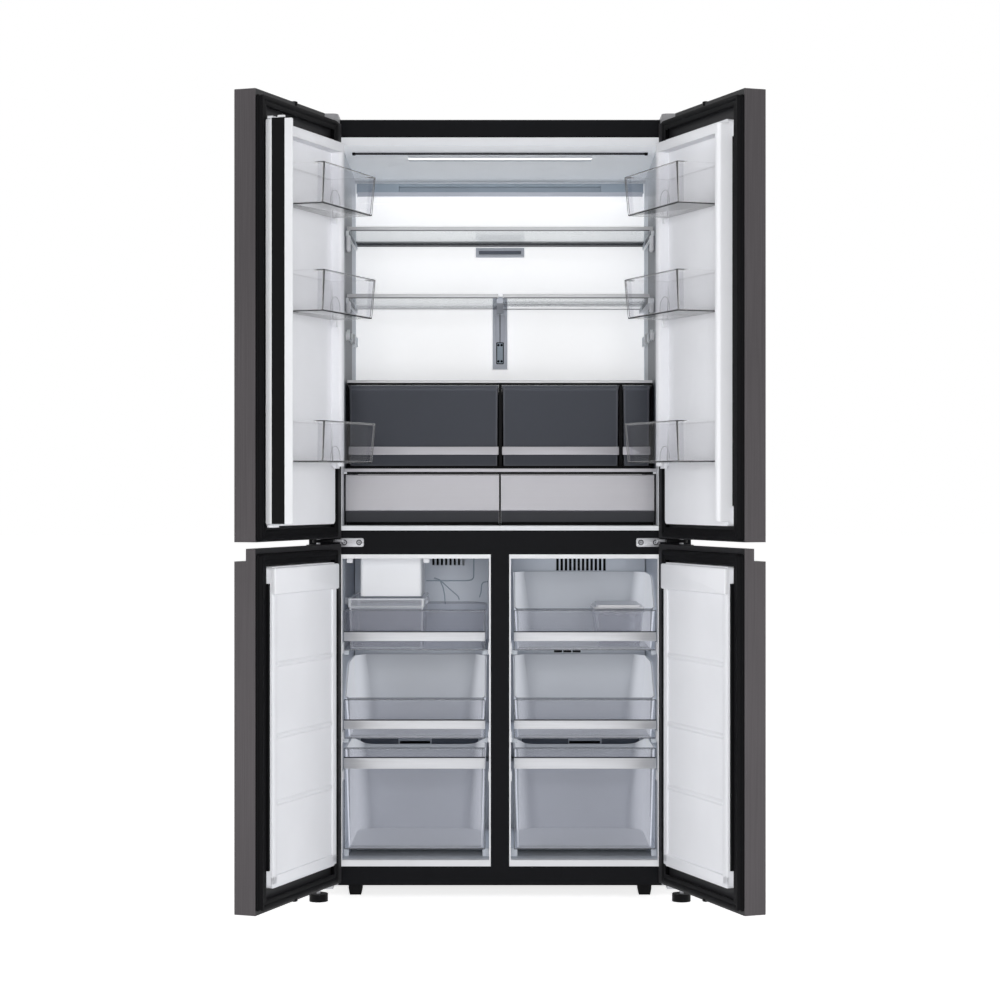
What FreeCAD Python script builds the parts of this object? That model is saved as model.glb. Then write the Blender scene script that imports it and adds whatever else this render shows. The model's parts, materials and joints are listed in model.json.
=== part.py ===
import FreeCAD
import Part
import Sketcher
import os
import re

# A four-door refrigerator with its doors open: two French doors over two freezer doors.
# Millimetres, +Z up, +X to the right, +Y to the back. The origin is on the floor, midway
# across, in the plane of the cabinet's front. Left is the viewer's left.

# Numbers are set by hand; words are worked out from other sizes.
SIZES = {
    # Cabinet
    "cabinet_half": 455,
    "cabinet_depth": 627,
    "cabinet_top": 1849,
    "cabinet_base": 26,
    "skin": 1,
    "plate": 2,
    # Foam walls around the compartments
    "side_wall": 74,
    "roof_wall": 42,
    "rear_wall": 79,
    "middle_beam": 57,
    "freezer_side_wall": 75,
    "freezer_rear_wall": 127,
    "freezer_base_wall": 45,
    # Fridge compartment opening and lining
    "fridge_half": "cabinet_half - side_wall",
    "fridge_bottom": "freezer_top + middle_beam",
    "fridge_top": "cabinet_top - roof_wall",
    "fridge_back": "cabinet_depth - rear_wall",
    "fridge_wall": 4,
    "fridge_sill": 11,
    "fridge_floor": "fridge_bottom + fridge_sill",
    "ceiling_lip": 20,
    "ceiling_front": "fridge_top - ceiling_lip",
    "ceiling_fall": 15,
    "ceiling_rear": "ceiling_front - ceiling_fall",
    "groove_margin": 25,
    "groove_half": "fridge_half - groove_margin",
    "groove_front": 93,
    "groove_width": 4,
    # Freezer compartments, left and right of the centre wall
    "freezer_outer": "cabinet_half - freezer_side_wall",
    "freezer_inner": 22,
    "freezer_height": 743,
    "freezer_bottom": "cabinet_base + freezer_base_wall",
    "freezer_top": "freezer_bottom + freezer_height",
    "freezer_back": "cabinet_depth - freezer_rear_wall",
    "step_depth": 100,
    "freezer_step_back": "freezer_back - step_depth",
    "step_roof": 12,
    "freezer_step_top": "machine_top + step_roof",
    "freezer_wall": 4,
    "freezer_sill": 15,
    "freezer_floor": "freezer_bottom + freezer_sill",
    "freezer_lip": 10,
    "freezer_ceiling": "freezer_top - freezer_lip",
    "rail_width": 12,
    "inner_rail_width": 16,
    "rail_height": 12,
    "rail_setback": 10,
    "rail_front": "bay_front + rail_setback",
    "low_rail_end": 4,
    "low_rail_back": "bay_low_back - low_rail_end",
    # Machine room at the lower rear
    "machine_margin": 35,
    "machine_half": "cabinet_half - machine_margin",
    "machine_wall": 30,
    "machine_front": "freezer_step_back + machine_wall",
    "machine_top": 258,
    "vent_half": 300,
    "vent_low": 70,
    "vent_high": 210,
    "vent_width": 8,
    "vent_count": 13,
    # Shelves
    "shelf_side_gap": 3,
    "shelf_half": "fridge_half - fridge_wall - shelf_side_gap",
    "shelf_front": 148,
    "shelf_rear_gap": 26,
    "shelf_back": "duct_front - shelf_rear_gap",
    "shelf_edge": 8,
    "shelf_gap": 4,
    "glass": 4,
    "shelf_space": "fridge_top - crisper_top",
    "upper_share": 0.6445,
    "upper_shelf": "crisper_top + shelf_space * upper_share",
    "middle_share": 0.36,
    "middle_shelf": "crisper_top + shelf_space * middle_share",
    "shelf_trim": 10,
    "shelf_seat": 2,
    "shelf_rib_width": 7,
    "shelf_rib_height": 12,
    "peg_drop": 99,
    "peg_low": "middle_shelf - peg_drop",
    "peg_height": 24,
    "peg_high": "peg_low + peg_height",
    "peg_setback": 42,
    "peg_front": "shelf_front + peg_setback",
    "peg_length": 60,
    "peg_pitch": 130,
    "peg_count": 3,
    "rear_half_depth": 124,
    "rear_half_front": "shelf_back - rear_half_depth",
    "slide_clearance": 1,
    "rear_half_low": "middle_shelf + glass + slide_clearance",
    "rear_half_trim": 6,
    "slide_side_gap": 4,
    "slide_half": "fridge_half - fridge_wall - shelf_rib_width - slide_side_gap",
    "slide_overlap": 14,
    "slide_back": "rear_half_front + slide_overlap",
    "slide_bearing": 4,
    "slide_rib_width": "shelf_rib_width + slide_side_gap + slide_bearing",
    # Rear duct cover, shelf tower and filter vent
    "duct_side_gap": 1,
    "duct_half": "fridge_half - fridge_wall - duct_side_gap",
    "duct_thick": 22,
    "duct_front": "fridge_back - fridge_wall - duct_thick",
    "duct_foot_gap": 2,
    "duct_low": "fridge_floor + duct_foot_gap",
    "duct_head_gap": 6,
    "duct_high": "ceiling_rear - duct_head_gap",
    "duct_slot_margin": 113,
    "duct_slot_half": "duct_half - duct_slot_margin",
    "duct_slot_head": 8,
    "duct_slot_high": "duct_high - duct_slot_head",
    "duct_slot_height": 38,
    "duct_slot_low": "duct_slot_high - duct_slot_height",
    "duct_slot_depth": 12,
    "duct_step_margin": 52,
    "duct_step_half": "duct_half - duct_step_margin",
    "duct_step_depth": 4,
    "tower_half": 19,
    "tower_thick": 23,
    "tower_front": "duct_front - tower_thick",
    "tower_foot": 52,
    "tower_low": "crisper_top + tower_foot",
    "tower_rise": 32,
    "tower_high": "middle_shelf + tower_rise",
    "tower_slot_half": 12,
    "tower_slot_rise": 68,
    "tower_slot_low": "tower_low + tower_slot_rise",
    "tower_slot_gap": 5,
    "tower_slot_high": "middle_shelf - shelf_rib_height - tower_slot_gap",
    "tower_slot_depth": 10,
    "arm_half": 8,
    "arm_setback": 14,
    "arm_front": "shelf_front + arm_setback",
    "filter_half": 63.5,
    "filter_drop": 28.5,
    "filter_low": "upper_shelf - filter_drop",
    "filter_height": 25,
    "filter_high": "filter_low + filter_height",
    "filter_rim": 5,
    "filter_depth": 4,
    "filter_recess": 2,
    # Ceiling lamp
    "lamp_half": 225,
    "lamp_front": 112,
    "lamp_depth": 100,
    "lamp_back": "lamp_front + lamp_depth",
    "lamp_drop": 8,
    "lamp_low": "ceiling_front - lamp_drop",
    "lamp_thick": 13,
    "lamp_high": "lamp_low + lamp_thick",
    # Crisper unit
    "crisper_side_gap": 4,
    "crisper_half": "fridge_half - fridge_wall - crisper_side_gap",
    "crisper_setback": 2,
    "crisper_front": "shelf_front - crisper_setback",
    "crisper_rear_gap": 7,
    "crisper_back": "duct_front - crisper_rear_gap",
    "crisper_base": 7,
    "crisper_floor": "pantry_cover_high + crisper_base",
    "crisper_height": 203,
    "crisper_top": "crisper_floor + crisper_height",
    "crisper_cheek": 2,
    "crisper_rail": 5,
    "crisper_cover": 7,
    "crisper_strip_rise": 26,
    "crisper_strip_low": "crisper_floor + crisper_strip_rise",
    "crisper_strip_height": 20,
    "crisper_strip_high": "crisper_strip_low + crisper_strip_height",
    "crisper_strip": 6,
    "crisper_drawer_rear": 10,
    "crisper_drawer_back": "crisper_back - crisper_drawer_rear",
    "crisper_drawer_top": "crisper_top - crisper_rail - 2 * drawer_gap",
    "crisper_wall": 3,
    "crisper_front_wall": 5,
    "drawer_gap": 0.5,
    "crisper_left_end": "crisper_half - crisper_cheek - 2 * drawer_gap",
    "crisper_left_start": 3.5,
    "crisper_right_start": 5,
    "crisper_right_width": 286,
    "crisper_right_end": "crisper_right_start + crisper_right_width",
    "crisper_narrow_wall": 9,
    "crisper_narrow_start": "crisper_right_end + crisper_narrow_wall",
    "crisper_narrow_gap": 3.5,
    "crisper_narrow_end": "crisper_half - crisper_cheek - crisper_narrow_gap",
    # Pantry drawers under the crisper
    "pantry_height": 129,
    "pantry_cover_low": "fridge_floor + pantry_height",
    "pantry_cover_high": "pantry_cover_low + 2 * glass",
    "pantry_cover_front": 80,
    "pantry_rib": 5,
    "pantry_start": 2.5,
    "pantry_side_gap": 4,
    "pantry_end": "fridge_half - fridge_wall - pantry_side_gap",
    "pantry_setback": 2,
    "pantry_front": "pantry_cover_front + pantry_setback",
    "pantry_panel": 10,
    "pantry_rear_gap": 12,
    "pantry_back": "duct_front - pantry_rear_gap",
    "pantry_panel_gap": 1.5,
    "pantry_panel_top": "pantry_cover_low - pantry_rib - pantry_panel_gap",
    "pantry_tub_drop": 4.5,
    "pantry_tub_top": "pantry_panel_top - pantry_tub_drop",
    "pantry_panel_rise": 34,
    "pantry_panel_low": "fridge_floor + pantry_panel_rise",
    "pantry_grip_rise": 8,
    "pantry_grip_low": "fridge_floor + pantry_grip_rise",
    "pantry_grip": 8,
    "pantry_wall": 3,
    # Freezer drawers
    "bay_side_gap": 3,
    "bay_outer": "freezer_outer - freezer_wall - bay_side_gap",
    "bay_inner_gap": 7,
    "bay_inner": "freezer_inner + freezer_wall + bay_inner_gap",
    "bay_front": 50,
    "bay_rear_gap": 12,
    "bay_back": "cover_front - bay_rear_gap",
    "bay_low_back": "freezer_step_back - freezer_wall - bay_rear_gap",
    "bay_wall": 3,
    "bay_trim": 8,
    "bay_slope_start": 40,
    "bay_slope_end": 150,
    "bay_space": "freezer_ceiling - freezer_floor",
    "low_bay_rise": 19,
    "low_bay_floor": "freezer_floor + low_bay_rise",
    "low_bay_height": 219,
    "low_bay_front": "low_bay_floor + low_bay_height",
    "low_bay_back": "low_bay_front",
    "low_trim_height": 26,
    "low_trim_low": "low_bay_front - low_trim_height",
    "low_trim_high": "low_bay_front",
    "middle_bay_share": 0.397,
    "middle_bay_floor": "freezer_floor + bay_space * middle_bay_share",
    "middle_front_height": 95,
    "middle_bay_front": "middle_bay_floor + middle_front_height",
    "middle_back_height": 177,
    "middle_bay_back": "middle_bay_floor + middle_back_height",
    "middle_trim_rise": 22.5,
    "middle_trim_low": "middle_bay_floor + middle_trim_rise",
    "middle_trim_height": 20.5,
    "middle_trim_high": "middle_trim_low + middle_trim_height",
    "top_bay_share": 0.692,
    "top_bay_floor": "freezer_floor + bay_space * top_bay_share",
    "top_front_height": 101,
    "top_bay_front": "top_bay_floor + top_front_height",
    "top_back_height": 120,
    "top_bay_back": "top_bay_floor + top_back_height",
    "top_trim_rise": 21.5,
    "top_trim_low": "top_bay_floor + top_trim_rise",
    "top_trim_height": 21.5,
    "top_trim_high": "top_trim_low + top_trim_height",
    # Ice maker, bucket and ice box
    "ice_maker_margin": 35,
    "ice_maker_outer": "bay_outer - ice_maker_margin",
    "ice_maker_width": 148,
    "ice_maker_inner": "ice_maker_outer - ice_maker_width",
    "ice_maker_front": 90,
    "ice_maker_depth": 240,
    "ice_maker_back": "ice_maker_front + ice_maker_depth",
    "ice_maker_height": 94,
    "ice_maker_low": "freezer_ceiling - ice_maker_height",
    "ice_maker_radius": 8,
    "bucket_margin": 4,
    "bucket_outer": "bay_outer - bay_wall - bucket_margin",
    "bucket_width": 184,
    "bucket_inner": "bucket_outer - bucket_width",
    "bucket_setback": 8,
    "bucket_front": "bay_front + bucket_setback",
    "bucket_depth": 322,
    "bucket_back": "bucket_front + bucket_depth",
    "bucket_gap": 4,
    "bucket_top": "ice_maker_low - bucket_gap",
    "bucket_wall": 2.5,
    "ice_box_margin": 23,
    "ice_box_outer": "bay_outer - ice_box_margin",
    "ice_box_width": 123,
    "ice_box_inner": "ice_box_outer - ice_box_width",
    "ice_box_setback": 30,
    "ice_box_front": "bay_front + ice_box_setback",
    "ice_box_depth": 220,
    "ice_box_back": "ice_box_front + ice_box_depth",
    "ice_box_height": 103,
    "ice_box_top": "top_bay_floor + bay_wall + ice_box_height",
    # Freezer duct covers
    "cover_gap": 2,
    "cover_outer": "freezer_outer - freezer_wall - cover_gap",
    "cover_inner": "freezer_inner + freezer_wall + cover_gap",
    "coil_room": 40,
    "cover_back": "freezer_back - coil_room",
    "cover_thick": 8,
    "cover_front": "cover_back - cover_thick",
    "cover_rise": 6,
    "cover_low": "freezer_step_top + freezer_wall + cover_rise",
    "grille_pitch": 11,
    "grille_slot": 6.5,
    "grille_head": 4,
    "grille_high": "freezer_ceiling - grille_head",
    "left_grille_start": 91,
    "left_grille_drop": 31,
    "left_grille_low": "freezer_ceiling - left_grille_drop",
    "left_grille_slots": 8,
    "right_grille_start": 145,
    "right_grille_drop": 45,
    "right_grille_low": "freezer_ceiling - right_grille_drop",
    "right_grille_slots": 12,
    # Doors, drawn shut; they turn about the hinge lines to the open pose
    "door_open_angle": 110.3,
    "hinge_inset": 28,
    "hinge_line": "cabinet_half - hinge_inset",
    "hinge_setback": 7.5,
    "hinge_reach": "door_front - hinge_setback",
    "door_free": 2,
    "door_front": 69,
    "door_rear": 16,
    "door_gap": 14,
    "upper_door_low": "lower_door_high + door_gap",
    "door_top_gap": 7,
    "upper_door_high": "cabinet_top - door_top_gap",
    "door_foot_gap": 15.5,
    "lower_door_low": "cabinet_base + door_foot_gap",
    "door_lap": 26,
    "lower_door_high": "freezer_top + door_lap",
    "door_corner": 5,
    "notch_margin": 19,
    "notch_start": "top_hinge_inner - notch_margin",
    "notch_gap": 2.5,
    "notch_low": "top_hinge_low - notch_gap",
    "grip_height": 28,
    "grip_low": "lower_door_high - grip_height",
    "grip_depth": 30,
    "grip_margin": 52,
    "grip_end": "hinge_line - grip_margin",
    # Gaskets
    "gasket_margin": 2,
    "gasket_free": "door_free + gasket_margin",
    "gasket_lap": 28,
    "gasket_hinge": "fridge_half + gasket_lap",
    "gasket_width": 13,
    "gasket_gap": 0.5,
    "upper_gasket_rise": 3,
    "upper_gasket_low": "upper_door_low + upper_gasket_rise",
    "upper_gasket_drop": 1,
    "upper_gasket_high": "notch_low - upper_gasket_drop",
    "lower_gasket_rise": 8.5,
    "lower_gasket_low": "lower_door_low + lower_gasket_rise",
    "lower_gasket_drop": 11,
    "lower_gasket_high": "lower_door_high - lower_gasket_drop",
    # Door linings
    "lining_lap": 8,
    "lining_hinge": "fridge_half - lining_lap",
    "lining_gap": 5,
    "left_lining_free": "mullion_free + mullion_thick + lining_gap",
    "right_lining_free": 37,
    "lower_lining_free": 36,
    "lining_face": 5.5,
    "lining_radius": 10,
    "lining_foot": 18,
    "upper_lining_low": "fridge_bottom + lining_foot",
    "lining_head": 27,
    "upper_lining_high": "fridge_top - lining_head",
    "dyke_width": 22,
    "dyke_top": 31,
    "dyke_rise": 3,
    "dyke_low": "pantry_cover_high + dyke_rise",
    "dyke_radius": 8,
    "lower_lining_foot": 25,
    "lower_lining_low": "freezer_bottom + lower_lining_foot",
    "lower_lining_head": 14,
    "lower_lining_high": "freezer_top - lower_lining_head",
    "band_drop": 8,
    "band_high": "lower_lining_high - band_drop",
    "band_height": 45,
    "band_low": "band_high - band_height",
    "band_depth": 3,
    "ridge_margin": 24,
    "ridge_height": 7,
    "ridge_depth": 3.5,
    "ridge_rise": 185,
    "ridge_first": "lower_lining_low + ridge_rise",
    "ridge_pitch": 146,
    "ridge_second": "ridge_first + ridge_pitch",
    "ridge_top_pitch": 158,
    "ridge_third": "ridge_second + ridge_top_pitch",
    "ear_free": 18,
    "ear_depth": 10,
    "ear_height": 38,
    "ear_inset": 3,
    # Door bins
    "bin_front": 115,
    "bin_margin": 2,
    "bin_hinge": "lining_hinge - dyke_width - bin_margin",
    "bin_wall": 2.5,
    "bin_radius": 16,
    "bin_lug": 8,
    "bin_lug_front": 14,
    "low_bin_rise": 3,
    "low_bin_floor": "dyke_low + low_bin_rise",
    "bin_space": "upper_lining_high - low_bin_floor",
    "low_bin_height": 98,
    "low_bin_top": "low_bin_floor + low_bin_height",
    "middle_bin_share": 0.433,
    "middle_bin_floor": "low_bin_floor + bin_space * middle_bin_share",
    "middle_bin_height": 109,
    "middle_bin_top": "middle_bin_floor + middle_bin_height",
    "high_bin_share": 0.751,
    "high_bin_floor": "low_bin_floor + bin_space * high_bin_share",
    "high_bin_height": 91,
    "high_bin_top": "high_bin_floor + high_bin_height",
    # Flip mullion on the left door, folded
    "mullion_free": 18,
    "mullion_thick": 20,
    "mullion_wide": 65,
    "mullion_start": 0.5,
    "mullion_inset": 4,
    "mullion_low": "upper_lining_low + mullion_inset",
    "mullion_high": "upper_lining_high - mullion_inset",
    "mullion_plate": 2,
    "mullion_margin": 15,
    "mullion_plate_width": 31,
    "mullion_plate_inset": 8,
    "pivot_radius": 3,
    "pivot_depth": 11,
    "pivot_gap": 1,
    "lug_height": 6,
    "lug_free": 21,
    "running_fit": 0.05,
    # Hinges
    "pin_radius": 5,
    "pin_length": 17.5,
    "pin_room": 2,
    "top_hinge_inner": "fridge_half",
    "top_hinge_margin": 3,
    "top_hinge_outer": "cabinet_half - top_hinge_margin",
    "top_hinge_front": "door_front - skin",
    "top_hinge_drop": 15.5,
    "top_hinge_low": "cabinet_top - top_hinge_drop",
    "top_hinge_rise": 4,
    "top_hinge_high": "cabinet_top + top_hinge_rise",
    "top_hinge_back": 70,
    "top_hinge_radius": 14,
    "mid_plate_width": 57,
    "mid_plate_inner": "fridge_half - mid_plate_width",
    "mid_plate_rise": 18,
    "mid_plate_low": "freezer_top + mid_plate_rise",
    "mid_plate_height": 21,
    "mid_plate_high": "mid_plate_low + mid_plate_height",
    "mid_plate_thick": 3,
    "mid_plate_corner": 4,
    "arm_thick": 7,
    "arm_low": "lower_door_high + (door_gap - arm_thick) / 2",
    "arm_high": "arm_low + arm_thick",
    "arm_inward": 35,
    "arm_inner": "hinge_line - arm_inward",
    "arm_outward": 14,
    "arm_outer": "hinge_line + arm_outward",
    "arm_ahead": 12.5,
    "arm_reach": "hinge_reach + arm_ahead",
    "arm_root": 9,
    "low_arm_rise": 4,
    "low_arm_low": "cabinet_base + low_arm_rise",
    "low_arm_high": "low_arm_low + arm_thick",
    "low_plate_rise": 18,
    "low_plate_top": "cabinet_base + low_plate_rise",
    "low_plate_thick": 4,
    "low_plate_inward": 42,
    "low_plate_inner": "hinge_line - low_plate_inward",
    "low_plate_outward": 23,
    "low_plate_outer": "hinge_line + low_plate_outward",
    # Feet
    "foot_radius": 22,
    "foot_height": 18,
    "stud_radius": 5,
    "leg_inner": 329,
    "leg_width": 33,
    "leg_outer": "leg_inner + leg_width",
    "leg_taper": 3,
    "leg_shoulder": 16,
    "leg_front": 20,
    "leg_depth": 42,
    "rear_leg_inset": 58,
    "rear_leg_front": "cabinet_depth - rear_leg_inset",
    # Machine room: compressor, coils and fans
    "machine_axis": 97,
    "compressor_inset": 170,
    "compressor_side": "machine_half - compressor_inset",
    "compressor_back": "cabinet_depth - machine_axis",
    "compressor_radius": 72,
    "compressor_height": 165,
    "compressor_foot": 95,
    "compressor_base": 14,
    "coil_fin": 2,
    "coil_fins": 8,
    "fin_proud": 6,
    "condenser_inset": 90,
    "condenser_start": "condenser_inset - machine_half",
    "condenser_gap": 13,
    "condenser_end": "fan_side - fan_radius - condenser_gap",
    "condenser_ahead": 35,
    "condenser_front": "machine_front + condenser_ahead",
    "condenser_rear": 32,
    "condenser_back": "cabinet_depth - condenser_rear",
    "condenser_high": 200,
    "fan_offset": 90,
    "fan_side": "-fan_offset",
    "fan_back": "cabinet_depth - machine_axis",
    "fan_height": 130,
    "fan_radius": 62,
    "fan_hub": 16,
    "fan_depth": 22,
    "fan_blade": 2,
    "fan_pitch": 32,
    "fan_blades": 5,
    "blade_share": 0.9,
    "blade_start": 0.4,
    "blade_lift": 0.28,
    "fan_shaft": 3,
    "fan_motor_radius": 22,
    "fan_motor_depth": 45,
    "fan_play": 2,
    "fan_post": 20,
    "cold_fan_offset": 200,
    "cold_fan_side": "-cold_fan_offset",
    "cold_fan_rise": 90,
    "cold_fan_height": "evaporator_high + cold_fan_rise",
    "cold_fan_radius": 55,
    "cold_fan_depth": 16,
    "cold_motor_depth": 10,
    "evaporator_margin": 40,
    "evaporator_gap": 4,
    "evaporator_front": "cover_back + evaporator_gap",
    "evaporator_rise": 30,
    "evaporator_low": "freezer_step_top + evaporator_rise",
    "evaporator_height": 300,
    "evaporator_high": "evaporator_low + evaporator_height",
}

doc = FreeCAD.newDocument("Refrigerator")
sheet = doc.addObject("Spreadsheet::Sheet", "Sizes")
for row, alias in enumerate(SIZES, start=1):
    sheet.set(f"A{row}", alias)
    sheet.setAlias(f"B{row}", alias)
for row, size in enumerate(SIZES.values(), start=1):
    sheet.set(f"B{row}", f"={size}")
doc.recompute()

nodes = []
LEFT, RIGHT = -1, 1
SIDES = (("left", LEFT), ("right", RIGHT))


def link(text):
    # Put the sheet's name in front of every alias in an expression.
    return re.sub(r"[a-z_]\w*", lambda word: sheet_word(word.group(0)), text)


def sheet_word(word):
    return "Sizes." + word if word in SIZES else word


def number(text):
    return float(sheet.evalExpression(link(text)))


def bind(thing, field, text):
    thing.setExpression(field, link(text))


def across(side, low, high):
    # A stretch of X measured outwards from the middle, on one side.
    return (low, high) if side == RIGHT else (f"-({high})", f"-({low})")


def at(side, place):
    return place if side == RIGHT else f"-({place})"


def block(name, x, y, z):
    solid = doc.addObject("Part::Box", name)
    for field, letter, (low, high) in zip(("Length", "Width", "Height"), "xyz", (x, y, z)):
        bind(solid, field, f"({high}) - ({low})")
        bind(solid, f"Placement.Base.{letter}", low)
    return solid


def rod(name, x, y, z, radius, length, axis=None, turn=0):
    # A cylinder up from a point, or turned a right angle about an axis.
    solid = doc.addObject("Part::Cylinder", name)
    bind(solid, "Radius", radius)
    bind(solid, "Height", length)
    if axis:
        solid.Placement = FreeCAD.Placement(FreeCAD.Vector(), FreeCAD.Rotation(FreeCAD.Vector(*axis), turn))
    for letter, low in zip("xyz", (x, y, z)):
        bind(solid, f"Placement.Base.{letter}", low)
    return solid


def along_y(name, x, y, z, radius, length):
    return rod(name, x, y, z, radius, length, (1, 0, 0), -90)


def outline(body, name, plane, corners, low):
    # A closed sketch of straight edges on a plane of the body, every corner bound.
    sketch = body.newObject("Sketcher::SketchObject", name)
    support = next(f for f in body.Origin.OriginFeatures if f.Role == plane + "_Plane")
    sketch.AttachmentSupport = [(support, "")]
    sketch.MapMode = "FlatFace"
    bind(sketch, "AttachmentOffset.Base.z", f"-({low})" if plane == "XZ" else low)
    points = [FreeCAD.Vector(number(along), number(up), 0) for along, up in corners]
    count = len(corners)
    for place in range(count):
        sketch.addGeometry(Part.LineSegment(points[place], points[(place + 1) % count]))
    for place in range(count):
        sketch.addConstraint(Sketcher.Constraint("Coincident", place, 2, (place + 1) % count, 1))
    for place, corner in enumerate(corners):
        for kind, text in zip(("DistanceX", "DistanceY"), corner):
            index = sketch.addConstraint(Sketcher.Constraint(kind, -1, 1, place, 1, number(text)))
            bind(sketch, f"Constraints[{index}]", text)
    return sketch


def prism(name, plane, corners, low, high):
    # A body padded from an outline, between two places along the plane's normal.
    body = doc.addObject("PartDesign::Body", name)
    sketch = outline(body, name + "_outline", plane, corners, low)
    pad = body.newObject("PartDesign::Pad", name + "_pad")
    pad.Profile = sketch
    pad.Reversed = plane == "XZ"
    bind(pad, "Length", f"({high}) - ({low})")
    return body


def rectangle(along, up):
    (left, right), (low, high) = along, up
    return [(left, low), (right, low), (right, high), (left, high)]


def revolve(name, corners, x, y, z="0"):
    # A body turned about an upright axis from radii and heights.
    body = doc.addObject("PartDesign::Body", name)
    sketch = outline(body, name + "_outline", "XZ", corners, "0")
    turned = body.newObject("PartDesign::Revolution", name + "_turned")
    turned.Profile = sketch
    turned.ReferenceAxis = (sketch, ["V_Axis"])
    turned.Angle = 360
    for letter, place in zip("xyz", (x, y, z)):
        bind(body, f"Placement.Base.{letter}", place)
    return body


def soften(body, radius, axis, chosen=lambda middle: True):
    # Round the edges of a body that run along an axis and whose middles are chosen.
    doc.recompute()
    base = body.Tip
    names = []
    for place, edge in enumerate(base.Shape.Edges, start=1):
        way = edge.tangentAt(edge.FirstParameter)
        if abs(getattr(way, axis)) > 0.999 and chosen(edge.CenterOfMass):
            names.append(f"Edge{place}")
    fillet = body.newObject("PartDesign::Fillet", f"{body.Name}_round_{axis}")
    fillet.Base = (base, names)
    bind(fillet, "Radius", radius)
    return body


def join(name, pieces):
    fused = doc.addObject("Part::MultiFuse", name)
    fused.Shapes = pieces
    fused.Refine = True
    return fused


def cut(name, base, tools):
    taken = doc.addObject("Part::Cut", name)
    taken.Base = base
    taken.Tool = tools[0] if len(tools) == 1 else join(name + "_tools", tools)
    taken.Refine = True
    return taken


def group(name, pieces):
    compound = doc.addObject("Part::Compound", name)
    compound.Links = pieces
    return compound


def node(label, thing):
    thing.Label = label
    nodes.append(thing)
    return thing


def swing(thing, side):
    # Turn a door piece, drawn shut, about its hinge line to the open pose.
    thing.Placement = FreeCAD.Placement(FreeCAD.Vector(), FreeCAD.Rotation(FreeCAD.Vector(0, 0, 1), 1))
    bind(thing, "Placement.Rotation.Angle", at(side, "door_open_angle"))
    shift = "hinge_line * (1 - cos(door_open_angle)) - hinge_reach * sin(door_open_angle)"
    bind(thing, "Placement.Base.x", at(side, shift))
    drop = "-hinge_reach * (1 - cos(door_open_angle)) - hinge_line * sin(door_open_angle)"
    bind(thing, "Placement.Base.y", drop)
    return thing


# Cabinet: folded skin, rear plate, base plate, front frame and injected foam
INSIDE = ("skin - cabinet_half", "cabinet_half - skin")
FLOOR_UP = ("cabinet_base + plate", "cabinet_top - skin")
FRIDGE_HOLE = ("-fridge_half", "fridge_half")
MACHINE_ROOM = ("-machine_half", "machine_half")


def cabinet_shell():
    whole = ("-cabinet_half", "cabinet_half")
    outer = block("shell_outer", whole, ("0", "cabinet_depth"), ("cabinet_base", "cabinet_top"))
    inner = block("shell_inner", INSIDE, ("-skin", "cabinet_depth + skin"), ("0", "cabinet_top - skin"))
    node("cabinet_shell", cut("shell_folded", outer, [inner]))


def rear_cover():
    thick = ("cabinet_depth - plate", "cabinet_depth")
    sheet_plate = block("rear_plate", INSIDE, thick, FLOOR_UP)
    slots = []
    for step in range(SIZES["vent_count"]):
        middle = f"-vent_half + {step} * 2 * vent_half / (vent_count - 1)"
        wide = (f"{middle} - vent_width / 2", f"{middle} + vent_width / 2")
        deep = ("cabinet_depth - 2 * plate", "cabinet_depth + plate")
        slots.append(block(f"rear_vent_{step}", wide, deep, ("vent_low", "vent_high")))
    node("rear_cover", cut("rear_cover_vented", sheet_plate, slots))


def freezer_corners(front, floor, low_back, step_top, back, top):
    low_part = [(front, floor), (low_back, floor), (low_back, step_top)]
    return low_part + [(back, step_top), (back, top), (front, top)]


def freezer_space(name, side, front):
    corners = freezer_corners(
        front, "freezer_bottom", "freezer_step_back", "freezer_step_top", "freezer_back", "freezer_top"
    )
    return prism(name, "YZ", corners, *across(side, "freezer_inner", "freezer_outer"))


def insulation_foam():
    behind = ("plate", "cabinet_depth - plate")
    filling = block("foam_block", INSIDE, behind, FLOOR_UP)
    spaces = [block("foam_fridge", FRIDGE_HOLE, ("0", "fridge_back"), ("fridge_bottom", "fridge_top"))]
    spaces += [freezer_space(f"foam_{name}_freezer", side, "0") for name, side in SIDES]
    room = ("machine_front", "cabinet_depth")
    spaces.append(block("foam_machine_room", MACHINE_ROOM, room, ("0", "machine_top")))
    node("insulation_foam", cut("foam_injected", filling, spaces))


def front_frame():
    face = ("0", "plate")
    through = ("-plate", "2 * plate")
    panel = block("frame_panel", INSIDE, face, FLOOR_UP)
    holes = [block("frame_fridge", FRIDGE_HOLE, through, ("fridge_bottom", "fridge_top"))]
    for name, side in SIDES:
        wide = across(side, "freezer_inner", "freezer_outer")
        holes.append(block(f"frame_{name}_freezer", wide, through, ("freezer_bottom", "freezer_top")))
    node("front_frame", cut("frame_pierced", panel, holes))


def base_plinth():
    tray = ("cabinet_base", "cabinet_base + plate")
    node("base_plinth", block("base_tray", INSIDE, ("0", "cabinet_depth"), tray))


# Fridge compartment
WALL = "(fridge_half - fridge_wall)"


def fridge_rib(name, side, width, y, z):
    return block(name, across(side, f"{WALL} - {width}", f"{WALL} + fridge_wall / 2"), y, z)


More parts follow.
